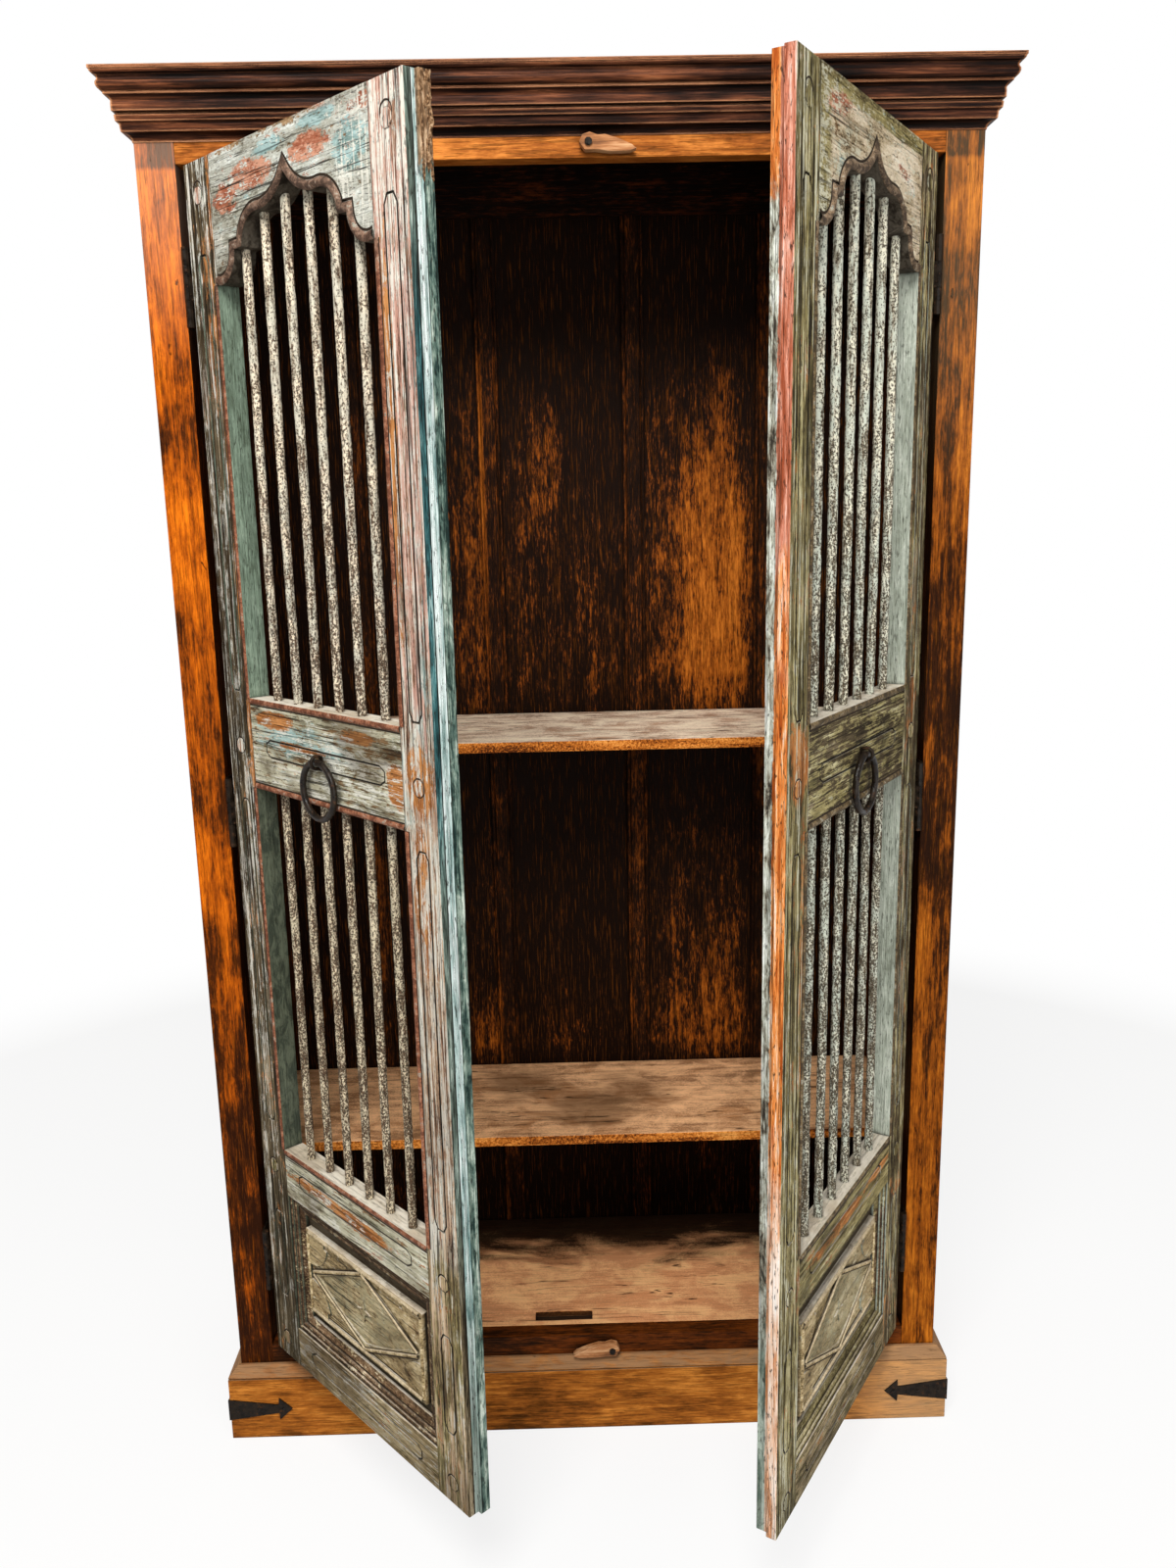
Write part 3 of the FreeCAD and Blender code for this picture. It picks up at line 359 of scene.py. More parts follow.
def back_shade(g):
    """The right-hand panel is rubbed bright, partly its own tone and partly painted light, and painted shade
    keeps the top, the middle and the left-hand side dark and darkens it under the shelves.
    """
    panel = g.profile(
        g.x,
        (-0.5, -0.4), (-0.24, -0.34), (-0.19, -0.12), (-0.145, -0.02), (-0.11, -0.15), (-0.06, -0.15),
        (-0.03, -0.12), (0.0, -0.16), (0.09, -0.17), (0.124, -0.08), (0.15, -0.06), (0.185, -0.005),
        (0.25, 0.04), (0.28, 0.01), (0.31, -0.16), (0.36, -0.3),
    )
    rise = g.profile(
        g.z,
        (0.15, -0.2), (0.45, -0.17), (0.5, 0.0), (0.56, -0.02), (0.66, -0.1), (0.88, -0.16), (1.0, -0.24),
        (1.1, -0.06), (1.16, 0.03), (1.34, 0.03), (1.45, -0.01), (1.55, -0.05), (1.62, -0.09), (1.68, -0.18),
        (1.74, -0.34),
    )
    shade = panel + rise + g.spot(-0.045, 1.5, 0.06, 0.13) * 0.065
    return shade * g.facing((0, 1, 0)).step(0.2, 0.5, 0.15, 1.0)


def muntin_shade(g):
    """The uprights of the back are dark, with a painted highlight along their left-hand edges."""
    stops = (0.5, 0.5), (0.7, 0.2), (1.1, 0.1), (1.25, 0.6), (1.36, 0.5), (1.44, 1.0), (1.6, 1.0), (1.7, 0.0)
    rise = g.profile(g.z, *stops)
    return (g.x.band(-0.1425, -0.136, 0.002) | g.x.band(0.0915, 0.096, 0.002) * 0.5) * rise * 0.18


def rubbed_cornice(along):
    """Dark moulding, red brown on its arrises, partly rubbed wood and partly painted highlight, with painted
    shade in its coves and painted light on its upward faces and at its left end.
    """
    g = Graph("cornice_wood_" + along, carcass_guide, along, 31)
    fibre = g.grain(420, 16, 0, 5.0, 0.65)
    cloud = g.grain(70, 5, 6, 6.0, 0.64, 0.5)
    worn = g.blend(0.446, (cloud, 0.42), (fibre, 0.4), (g.grain(9, 2.5, 10, 3.0, 0.6, 0.5), 0.6))
    worn = worn + abs(g.x).step(0.1, 0.4, 0.045)
    # Painted highlight on the arrises over rubbed wood, and painted shade and grime in the coves
    worn = worn + (g.arris(0.004) * 0.27 - g.crevice_shade(0.026) * 0.4)
    # Painted light on faces that look up, and a painted sheen at the left end
    worn = g.math("MULTIPLY_ADD", g.up, 0.06, worn + g.x.step(-0.4, -0.56, 0.09))
    base = g.ramp(
        worn, (0.35, 0.002, 0.001, 0.0006), (0.43, 0.018, 0.006, 0.003), (0.51, 0.08, 0.025, 0.011),
        (0.61, 0.25, 0.082, 0.032), (0.76, 0.6, 0.29, 0.14),
    )
    pores = g.grain(620, 40, 12, 2.0, 0.5).step(0.6, 0.7)
    base = g.mix(pores * 0.7, base, (0.008, 0.004, 0.002))
    height = g.blend(0.0, (fibre, 0.5), (cloud, 0.6))
    return g.finish(base, cloud.step(0.35, 0.65, 0.38, 0.5), 0.06, height, 0.0008)


def dusty_board(
    name, along, light, dark, seed, dust, powdered=0.8, deep=None, stains=(), thin=0.35, hollow=None,
):
    """A bare board, dusty on top and rubbed bright on its front edge, with painted shade under it, in its
    crevices and, where asked, towards the back and in a hollow.
    """
    g = Graph(name, carcass_guide, along, seed)
    fibre = g.grain(420, 22, 0, 5.0, 0.65)
    streak = g.grain(70, 6, 3, 6.0, 0.64, 0.5)
    cloud = g.grain(10, 5, 7, 6.0, 0.65, 0.8)
    speckle = g.grain(330, 330, 9, 4.0, 0.72)
    worn = g.blend(0.5, (cloud, 0.6), (streak, 0.5), (speckle, 0.5))
    top = g.up.step(0.6, 0.9)
    drift = g.noise((14, 20, 14), seed + 11, 6.0, 0.7, 0.6)
    drift = g.blend(0.5, (drift, 0.9), (streak, 0.45), (speckle, 0.4))
    powder = top * drift.step(0.36, 0.52, powdered, thin)
    powdery = g.mix(drift.step(0.42, 0.66), shaded(dust, 0.76), shaded(dust, 1.22))
    base = g.ramp(worn, (0.4, *dark), (0.5, *light), (0.6, *shaded(light, 1.5)))
    base = g.mix(powder, base, powdery)
    # Dark blotches on the top, round the listed places
    for spot in stains:
        far = g.value("VectorMath", g.place, spot, out="Value", operation="DISTANCE")
        blotch = g.blend(far.step(0.01, 0.13, 0.0, 0.5), (cloud, 1.1), (speckle, 0.5)).step(0.1, 0.55, 0.62)
        base = g.mix(top * blotch, base, shaded(dark, 1.1))
    if deep is not None:
        # Painted shade: the board darkens to near black towards the back
        back = g.blend(g.y, (cloud, 0.35), (streak, 0.12), (speckle, 0.1)).step(*deep)
        base = g.mix(back * 0.97, base, shaded(dark, 0.05))
    cracks = abs(g.grain(26, 1.6, 15, 4.0, 0.6, 0.5) - 0.5).step(0.008, 0.002)
    cracks = cracks * cloud.step(0.48, 0.55)
    rub = g.ramp(
        g.blend(0.5, (speckle, 0.8), (streak, 0.6), (cloud, 0.4)),
        (0.38, 0.07, 0.016, 0.003), (0.45, 0.34, 0.088, 0.011), (0.54, 0.68, 0.21, 0.028),
        (0.66, 0.95, 0.42, 0.1),
    )
    base = g.coats(
        base,
        (fibre.step(0.34, 0.5, 0.0, 0.3), dark),
        (cracks * 0.9, shaded(dark, 0.2)),
        (g.backwards.step(-0.6, -0.85) - g.crevice_shade(0.03), rub),
        # Painted shade on faces that look down
        (g.up.step(-0.4, -0.7), shaded(dark, 0.3)),
        # Painted shade and grime in crevices
        (g.crevice_shade(0.03) * 0.85, shaded(dark, 0.15)),
    )
    if hollow is not None:
        # Painted shade: the hollow below the board's top is made nearly black
        low_x, high_x, low_y, high_y, floor = hollow
        inside = g.x.band(low_x, high_x, 0.0015) * g.y.band(low_y, high_y, 0.0015)
        inside = inside * g.z.step(floor - 0.0014, floor - 0.0004, 0.0, 0.96)
        base = g.mix(inside, base, (0.01, 0.006, 0.004))
    height = g.blend(0.0, (fibre, 0.6), (streak, 0.6), (speckle, 0.3)) - cracks
    return g.finish(base, powder.step(0.0, 0.8, 0.8, 0.5), 0.06, height, 0.001)


def forged_iron(name, origin, gloss=0.11):
    g = Graph(name, origin)
    hammer = g.grain(90, 90, 3, 3.0, 0.5)
    scab = g.grain(130, 130, 11, 5.0, 0.7).step(0.57, 0.65)
    black = (0.01, 0.0065, 0.004)
    base = g.mix(hammer.step(0.35, 0.65), shaded(black, 0.55), shaded(black, 1.7))
    base = g.mix(scab * 0.5, base, (0.1, 0.042, 0.017))
    height = hammer + g.grain(700, 700, 7, 4.0, 0.6) * 0.25
    return g.finish(base, (hammer + scab * 0.6).step(0.3, 1.0, 0.7, 0.24), gloss, height, 0.0012)


# Where the doors' paint is bare, or of another colour
def left_arch_zones(g):
    return {
        "blue": g.spots(
            (0.385, 1.822, 0.036, 0.032), (0.32, 1.862, 0.04, 0.008), (0.215, 1.854, 0.04, 0.009),
        ),
        "orange": g.spots(
            (0.3, 1.838, 0.042, 0.016), (0.165, 1.832, 0.055, 0.018), (0.1, 1.815, 0.035, 0.02),
            (0.415, 1.86, 0.012, 0.01),
        ),
        "cream": g.spot(0.42, 1.84, 0.06, 0.03) | g.spot(0.37, 1.76, 0.05, 0.06) * 0.9,
        "bare": g.z.step(1.862, 1.872),
        "drips": g.x.step(0.33, 0.37),
    }


def left_meeting_zones(g):
    pink = g.z.band(1.36, 1.8, 0.06) * g.x.step(0.456, 0.436) | g.z.band(0.54, 1.02, 0.05) * 0.9
    cream = g.z.step(1.55, 1.7, 0.7) | g.z.band(0.6, 1.05, 0.05) * 0.7
    return {
        "pink": pink | g.z.step(1.1, 1.45, 0.8, 0.42),
        "orange": g.spots((0.455, 1.13, 0.03, 0.05), (0.45, 0.98, 0.02, 0.1), (0.436, 1.5, 0.012, 0.22)),
        "cream": cream - g.z.step(0.6, 0.48),
        "blue": g.x.band(0.466, 0.484, 0.006) * g.z.step(1.15, 1.3) | g.z.band(1.02, 1.35, 0.08) * 0.4,
        "olive": g.z.step(0.6, 0.44),
    }


def left_hinge_zones(g):
    return {
        "orange": g.spot(0.05, 1.7, 0.02, 0.1) * 0.7 | g.spot(0.062, 1.45, 0.006, 0.5),
        "cream": g.x.step(0.05, 0.01) * g.z.step(0.5, 0.9),
        "bare": g.z.step(1.0, 0.6, 1.6),
    }


def left_mid_zones(g):
    return {
        "orange": g.spots(
            (0.13, 1.165, 0.06, 0.012), (0.33, 1.165, 0.05, 0.01), (0.41, 1.12, 0.02, 0.03),
            (0.2, 1.135, 0.06, 0.006),
        ),
        "cream": g.spot(0.32, 1.12, 0.16, 0.045),
        "blue": g.spot(0.2, 1.14, 0.14, 0.03) * 0.7,
    }


def low_zones(*places):
    return lambda g: {"orange": g.spots(*places), "olive": g.z.step(0.36, 0.26)}


left_low_zones = low_zones((0.15, 0.482, 0.09, 0.01), (0.27, 0.478, 0.08, 0.013))
right_low_zones = low_zones((0.28, 0.483, 0.11, 0.01), (0.12, 0.488, 0.05, 0.008))


def right_meeting_zones(g):
    orange = g.spot(0.45, 1.15, 0.03, 0.05) | g.spot(0.43, 0.9, 0.012, 0.2) * 0.5
    return {"orange": orange, "cream": g.z.step(1.5, 1.75) * 0.5}


def right_hinge_zones(g):
    return {"orange": g.spot(0.04, 1.15, 0.03, 0.05) * 0.5}


def right_arch_zones(g):
    return {
        "blue": g.spot(0.35, 1.795, 0.035, 0.02) * 0.35,
        "cream": g.spot(0.345, 1.795, 0.05, 0.03) | g.x.step(0.34, 0.42),
        "bare": g.z.step(1.862, 1.872) | g.spot(0.36, 1.835, 0.06, 0.025) * 0.5,
        "orange": g.spot(0.36, 1.84, 0.05, 0.022) * 0.5,
        "olive": g.z.step(1.848, 1.862) | g.x.step(0.36, 0.42),
        "drips": g.x.step(0.36, 0.42) * 0.7,
    }


def mould_zones(g):
    return {"olive": abs(g.z - PANEL_MIDDLE).step(0.07, 0.074)}


def no_zones(g):
    return {}


# Each board's old paint: its wood, its paint, how much of each layer is left, and where
def wood(*tones, knee=0.45, light=0.54):
    return [(at, *tone) for at, tone in zip((0.38, knee, light, 0.64), tones)]


def paint(*tones):
    return wood(*tones, light=0.55)


LATE = {"knee": 0.46, "light": 0.55}
DARK_WOOD = wood((0.012, 0.008, 0.003), (0.06, 0.042, 0.02), (0.18, 0.135, 0.075), (0.46, 0.38, 0.26), **LATE)
MOULD_WOOD = wood(
    (0.016, 0.008, 0.004), (0.085, 0.044, 0.021), (0.25, 0.15, 0.08), (0.58, 0.42, 0.26), **LATE,
)
TAN_WOOD = wood((0.035, 0.018, 0.007), (0.18, 0.098, 0.04), (0.42, 0.27, 0.14), (0.72, 0.55, 0.36))
PINK_WOOD = wood((0.1, 0.042, 0.022), (0.38, 0.2, 0.12), (0.64, 0.42, 0.3), (0.86, 0.68, 0.55))
OLIVE_WOOD = wood((0.018, 0.014, 0.005), (0.125, 0.095, 0.036), (0.31, 0.25, 0.11), (0.62, 0.54, 0.32))
GREY_PAINT = paint((0.12, 0.112, 0.08), (0.39, 0.385, 0.31), (0.59, 0.6, 0.53), (0.86, 0.89, 0.83))
TEAL_PAINT = paint((0.145, 0.14, 0.085), (0.44, 0.415, 0.285), (0.67, 0.635, 0.47), (0.91, 0.9, 0.76))
PINK_PAINT = paint((0.32, 0.265, 0.19), (0.62, 0.545, 0.42), (0.8, 0.74, 0.62), (0.97, 0.95, 0.87))
BROWN_PAINT = paint((0.22, 0.165, 0.09), (0.58, 0.46, 0.29), (0.84, 0.72, 0.54), (0.97, 0.94, 0.82))
OLIVE_PAINT = paint((0.05, 0.042, 0.013), (0.22, 0.18, 0.066), (0.42, 0.35, 0.15), (0.7, 0.64, 0.38))
DUN_PAINT = paint((0.095, 0.062, 0.022), (0.36, 0.255, 0.12), (0.58, 0.45, 0.245), (0.86, 0.74, 0.5))
LOOKS = {
    "left_arch": (TAN_WOOD, GREY_PAINT, 0.11, -0.03, left_arch_zones),
    "left_meeting": (PINK_WOOD, PINK_PAINT, 0.085, 0.014, left_meeting_zones),
    "left_hinge": (DARK_WOOD, GREY_PAINT, -0.06, -0.035, left_hinge_zones),
    "left_mid": (TAN_WOOD, TEAL_PAINT, 0.065, 0.0, left_mid_zones),
    "left_low": (TAN_WOOD, TEAL_PAINT, 0.09, -0.002, left_low_zones),
    "left_panel": (TAN_WOOD, DUN_PAINT, 0.085, -0.05, no_zones),
    "left_mould": (MOULD_WOOD, DUN_PAINT, -0.06, -0.07, no_zones),
    "right_arch": (TAN_WOOD, BROWN_PAINT, 0.11, 0.002, right_arch_zones),
    "right_meeting": (OLIVE_WOOD, OLIVE_PAINT, 0.03, -0.015, right_meeting_zones),
    "right_hinge": (DARK_WOOD, OLIVE_PAINT, -0.02, -0.055, right_hinge_zones),
    "right_mid": (DARK_WOOD, OLIVE_PAINT, -0.005, -0.07, no_zones),
    "right_low": (OLIVE_WOOD, OLIVE_PAINT, 0.03, -0.05, right_low_zones),
    "right_panel": (OLIVE_WOOD, DUN_PAINT, 0.09, -0.04, no_zones),
    "right_mould": (MOULD_WOOD, OLIVE_PAINT, -0.05, -0.07, mould_zones),
}
REVEALS = {
    "left": [(0.36, 0.075, 0.1, 0.066), (0.5, 0.2, 0.27, 0.2), (0.62, 0.33, 0.42, 0.32)],
    "right": [(0.36, 0.2, 0.22, 0.17), (0.5, 0.42, 0.46, 0.38), (0.62, 0.66, 0.7, 0.6)],
}
CREAMS = {"left": (0.84, 0.82, 0.72), "right": (0.68, 0.66, 0.5)}
SEEDS = {"left": 2.3, "right": 41.7}
BROAD = ("arch", "panel", "mould")


# Materials of the doors
def edge_of_left(g, streak):
    """The meeting edge of the left door: a dark front strip, a pale bead and a flaking green lip."""
    teal = g.ramp(
        streak, (0.38, 0.004, 0.014, 0.015), (0.47, 0.018, 0.07, 0.075), (0.56, 0.075, 0.22, 0.23),
        (0.66, 0.5, 0.66, 0.63),
    )
    faded = g.ramp(
        streak, (0.38, 0.012, 0.016, 0.012), (0.47, 0.075, 0.1, 0.08), (0.56, 0.19, 0.25, 0.21),
        (0.66, 0.52, 0.6, 0.53),
    )
    front = g.coats(
        teal,
        (g.z.step(1.15, 0.95) | g.z.step(1.62, 1.76), faded),
        (g.z.step(0.62, 0.42), g.ramp(streak, *DARK_WOOD)),
    )
    lip = g.ramp(
        g.blend(0.5, (g.flake, 0.6), (streak, 0.7)),
        (0.4, 0.012, 0.03, 0.026), (0.47, 0.085, 0.145, 0.12), (0.55, 0.24, 0.32, 0.265),
        (0.64, 0.62, 0.7, 0.61),
    )
    bead = g.ramp(streak, (0.36, 0.16, 0.28, 0.27), (0.46, 0.5, 0.66, 0.63), (0.58, 0.86, 0.94, 0.92))
    bead = g.mix(g.z.step(0.55, 0.25, 0.75), bead, (0.17, 0.24, 0.19))
    torn = g.blend(g.z, (g.flake, 0.16)).step(1.775, 1.79) * g.y.step(0.014, 0.0146)
    splinters = g.ramp(
        g.flake, (0.4, 0.035, 0.016, 0.007), (0.5, 0.26, 0.145, 0.07), (0.62, 0.62, 0.44, 0.28),
    )
    return g.coats(
        front,
        (g.y.step(0.0142, 0.0148), lip),
        (g.y.band(0.0098, 0.0164, 0.0003), bead),
        (g.y.band(0.0168, 0.0174, 0.0004), (0.012, 0.009, 0.006)),
        (g.y.band(0.008, 0.0096, 0.0004), (0.012, 0.009, 0.006)),
        (torn, splinters),
    )


def edge_of_right(g, streak):
    """The meeting edge of the right door: an orange front strip and a pale rebate."""
    red = g.ramp(
        streak, (0.38, 0.26, 0.055, 0.02), (0.48, 0.5, 0.16, 0.09), (0.57, 0.66, 0.3, 0.21),
        (0.68, 0.86, 0.66, 0.58),
    )
    orange = g.ramp(
        streak, (0.38, 0.36, 0.07, 0.008), (0.49, 0.74, 0.22, 0.04), (0.58, 0.88, 0.4, 0.15),
        (0.67, 0.96, 0.76, 0.6),
    )
    pale = g.ramp(
        streak, (0.38, 0.66, 0.26, 0.1), (0.46, 0.86, 0.52, 0.34), (0.56, 0.94, 0.74, 0.6),
        (0.68, 0.99, 0.92, 0.86),
    )
    height = g.blend(g.z, (g.patch, 0.5))
    front = g.mix(height.step(0.52, 0.72), pale, g.mix(height.step(1.22, 1.42), orange, red))
    back = g.ramp(
        g.blend(0.5, (g.flake, 0.8), (streak, 0.6)),
        (0.38, 0.03, 0.026, 0.02), (0.44, 0.22, 0.19, 0.14), (0.51, 0.52, 0.54, 0.45),
        (0.62, 0.86, 0.88, 0.82),
    )
    green = g.mix(streak.step(0.42, 0.58), (0.13, 0.2, 0.16), (0.42, 0.54, 0.46))
    back = g.coats(
        back,
        (height.step(0.5, 0.34, 0.7), green),
        (g.blend(g.z, (g.patch, 0.2)).step(1.74, 1.77), orange),
    )
    return g.coats(
        front,
        (g.blend(g.y, (g.flake, 0.006)).step(0.0193, 0.0198), back),
        (g.y.band(0.0136, 0.0144, 0.0004), (0.16, 0.06, 0.03)),
    )


def grooved(g, board):
    """The strips that the round-ended grooves and the pegs lie on."""
    if board in RAIL_MIDDLES:
        axis, middles = g.z, RAIL_MIDDLES[board]
    else:
        axis, middles = g.x, (STILE_MIDDLES[board],)
    return greatest(axis.band(at - GROOVE_HALF, at + GROOVE_HALF, 0.0004) for at in middles)


def lay_noises(g, board):
    """The noises that the layers of a board share, and how strongly its grain is drawn."""
    broad = board in BROAD
    g.drawn = 0.35 if broad else 0.5 if board in RAIL_MIDDLES else 1.0
    g.fine = 0.35 if broad or board in RAIL_MIDDLES else 0.55
    fibres, streaks, flakes = ((420, 140), (70, 24), (58, 46)) if broad else ((560, 26), (95, 8), (75, 30))
    g.fibre = g.grain(*fibres, 0, 4.0, 0.7)
    g.line = g.grain(*((150, 150) if board == "mould" else (230, 4.5)), 3, 5.0, 0.64, 0.25)
    g.streak = g.grain(*streaks, 6, 6.0, 0.68, 0.5)
    g.flake = g.grain(*flakes, 9, 8.0, 0.74, 0.6)
    g.patch = g.grain(24, 11, 12, 5.0, 0.64, 0.6)
    g.cloud = g.grain(7, 3, 15, 3.0, 0.6, 0.4)
    g.pits = g.grain(420, 90, 21, 3.0, 0.62).step(0.6, 0.65)
    split = abs(g.grain(95, 1.6, 18, 3.0, 0.55, 0.2) - 0.5)
    split = split.step(0.015, 0.004) * g.cloud.step(0.42, 0.52, 1.0, 0.4)
    g.split = split | g.line.step(0.38, 0.32) * (0.8 * g.drawn)


def old_tones(g, board, found, wood_tones, paint_tones):
    """The tones of the wood and of the paint in all zones, and what has worn the paint away."""
    grained = g.blend(0.5, (g.line, 0.85 * g.drawn), (g.fibre, g.fine), (g.patch, 0.35))
    layered = g.blend(
        0.5, (g.patch, 0.6), (g.streak, 0.55 * g.drawn), (g.fibre, g.fine), (g.line, 0.45 * g.drawn),
    )
    wood = g.ramp(grained, *wood_tones)
    tone = g.ramp(layered, *paint_tones)
    if "olive" in found:
        amount = g.blend(found["olive"], (g.patch, 0.8), (g.streak, 0.6)).step(0.3, 0.7)
        wood = g.mix(amount, wood, g.ramp(grained, *OLIVE_WOOD))
        tone = g.mix(amount, tone, g.ramp(layered, *(DUN_PAINT if board == "low" else OLIVE_PAINT)))
    if "blue" in found:
        amount = g.blend(found["blue"] * 0.3, (g.flake, 0.9), (g.streak, 0.6)).step(0.1, 0.2)
        blue = g.mix(g.streak.step(0.4, 0.6), (0.12, 0.25, 0.24), (0.42, 0.64, 0.64))
        tone = g.mix(amount * 0.8, tone, blue)
    if "pink" in found:
        amount = g.blend(found["pink"] * 0.25, (g.streak, 0.8), (g.patch, 0.5)).step(0.06, 0.18)
        rosy = g.z.step(1.02, 1.2)
        low = g.mix(rosy, (0.46, 0.27, 0.15), (0.52, 0.215, 0.15))
        high = g.mix(rosy, (0.82, 0.62, 0.43), (0.88, 0.57, 0.46))
        tone = g.mix(amount * 0.85, tone, g.mix(g.line.step(0.4, 0.6), low, high))
    worn = [found["bare"] * 0.1] if "bare" in found else []
    if "orange" in found:
        warm = g.blend(found["orange"] * 0.34, (g.flake, 1.2), (g.patch, 0.8), (g.fibre, 0.5))
        warm = warm.step(0.14, 0.18)
        rust = ((0.3, 0.095, 0.02), (0.66, 0.29, 0.095))
        if board == "arch":
            rust = ((0.36, 0.11, 0.055), (0.66, 0.33, 0.215))
        wood = g.mix(warm, wood, g.mix(g.blend(g.streak, (g.fibre, 0.6)).step(0.4, 0.6), *rust))
        worn.append(warm * 0.2)
    return wood, tone, worn


def side_faces(g, side, board, base):
    """The reveals of the windows, painted shade on the arch's underside faces, and the meeting edge."""
    sideways = g.facing(AXES[side][1]).step(0.6, 0.85)
    if board == "arch":
        # Painted shade: the arch's faces that look neither forward, back nor up are made dark brown
        shaded_underside = abs(g.facing(AXES[side][2])).step(0.7, 0.5) * g.up.step(0.7, 0.5)
        return g.mix(shaded_underside, base, g.mix(g.flake.step(0.4, 0.6), (0.022, 0.016, 0.01), (0.11, 0.092, 0.068)))
    reveal = g.ramp(g.blend(0.5, (g.cloud, 0.5), (g.flake, 0.5), (g.fibre, 0.4)), *REVEALS[side])
    reveal = g.mix(g.pits * 0.6, reveal, (0.035, 0.032, 0.02))
    if side == "left":
        dim = g.mix(g.flake.step(0.42, 0.58), (0.018, 0.018, 0.01), (0.085, 0.09, 0.055))
        reveal = g.mix(g.z.step(1.07, 1.06, 0.85), reveal, dim)
    base = g.mix(sideways * g.x.step(0.3, 0.2), base, reveal)
    if board == "meeting":
        edge = edge_of_left if side == "left" else edge_of_right
        strip = edge(g, g.blend(0.5, (g.streak, 1.0), (g.fibre, 0.5)))
        strip = g.mix((g.pits | g.split * 0.5) * 0.8, strip, (0.02, 0.012, 0.007))
        base = g.mix(sideways * g.x.step(0.47, 0.475) | g.x.step(0.4877, 0.4879), base, strip)
    return base


def painted(side, board, along):
    """Layers of old paint flaking off weathered wood."""
    wood_tones, paint_tones, kept, creamed, zones = LOOKS[side + "_" + board]
    seed = SEEDS[side] + 3.1 * len(board) + (17.0 if along == "x" else 0.0)
    g = Graph(side + "_" + board + "_paint", door_guides[side], along, seed)
    lay_noises(g, board)
    found = zones(g)
    wood, tone, worn = old_tones(g, board, found, wood_tones, paint_tones)
    cover = g.blend(
        kept, (g.flake, 0.75), (g.line, 0.65 * g.drawn), (g.streak, 0.55 * g.drawn), (g.fibre, 0.35),
    )
    for amount in worn:
        cover = cover - amount
    cover = cover.step(-0.012, 0.014)
    cream = g.blend(creamed - 0.055, (g.line, 0.9 * g.drawn), (g.flake, 0.7), (g.fibre, 0.4))
    if "cream" in found:
        cream = cream + found["cream"] * 0.055
    cream = cream.step(-0.005, 0.022)
    if "drips" in found:
        run = g.noise((170, 170, 7), g.seed + 27, 5.0, 0.64, 0.3)
        cream = cream | found["drips"] * g.blend(run, (g.flake, 0.3)).step(0.555, 0.585)
    base = g.coats(wood, (cover, tone), (cream * 0.88, CREAMS[side]))
    if board == "panel":
        inside = abs(g.x - WINDOW_MIDDLE) * 7.6 + abs(g.z - PANEL_MIDDLE) * 18.0
        inside = inside.step(1.05, 0.95) * g.flake.step(0.4, 0.6, 0.8, 0.2)
        base = g.mix(inside * 0.7, base, (0.33, 0.32, 0.2))
    grimy = 0.15 if board in BROAD else 0.3 if board == "meeting" else 0.55
    grime = g.blend(0.5, (g.cloud, 0.8), (g.patch, 0.4)).step(0.4, 0.52, 0.0, grimy)
    base = g.coats(
        base,
        (grime, shaded(wood_tones[1][1:], 0.5)),
        ((g.split | g.pits * 0.75) * 0.9, (0.012, 0.008, 0.005)),
        (g.blend(g.z, (g.patch, 0.12)).step(0.27, 0.165, 0.45), (0.05, 0.038, 0.014)),
        # Arrises paler: rubbed paint, with a painted highlight
        (g.arris(0.0022) * g.flake.step(0.42, 0.52) * 0.6, g.mix(0.4, wood, CREAMS[side])),
    )
    if board not in BROAD:
        # Painted shade: the sunk grooves below the face are made nearly black
        sunk = grooved(g, board) * g.y.band(0.0004, 0.0026, 0.0002)
        base = g.mix(sunk * 0.93, base, (0.01, 0.007, 0.004))
    if board == "panel":
        # Painted shade: the panel's deeper parts behind its moulding are darkened
        base = g.mix(g.y.step(0.0115, 0.013, 0.9), base, (0.022, 0.014, 0.008))
    base = side_faces(g, side, board, base)
    ledge = g.up.step(0.75, 0.95) * g.blend(0.5, (g.flake, 0.8), (g.fibre, 0.4)).step(0.38, 0.5, 0.97, 0.55)
    base = g.coats(
        base,
        (ledge, g.mix(g.patch.step(0.4, 0.6), (0.66, 0.56, 0.42), (0.88, 0.81, 0.68))),
        # Painted shade and grime in crevices
        (g.crevice_shade(0.008) * 0.88, (0.014, 0.009, 0.005)),
    )
    height = g.blend(0.0, (g.fibre, 0.6), (g.line, 0.9), (g.streak, 0.5), (g.flake, 0.4))
    height = height + (cover * 0.16 + cream * 0.1) - (g.split * 0.9 + g.pits * 0.35)
    return g.finish(base, cover.step(0.0, 1.0, 0.62, 0.8), 0.14, height, 0.0016)


ROLL_TONES = {
    "left": ((0.13, 0.04, 0.018), (0.06, 0.034, 0.022), (0.42, 0.17, 0.09), (0.26, 0.155, 0.105)),
    "right": ((0.045, 0.03, 0.014), (0.05, 0.032, 0.02), (0.22, 0.15, 0.07), (0.26, 0.175, 0.105)),
}


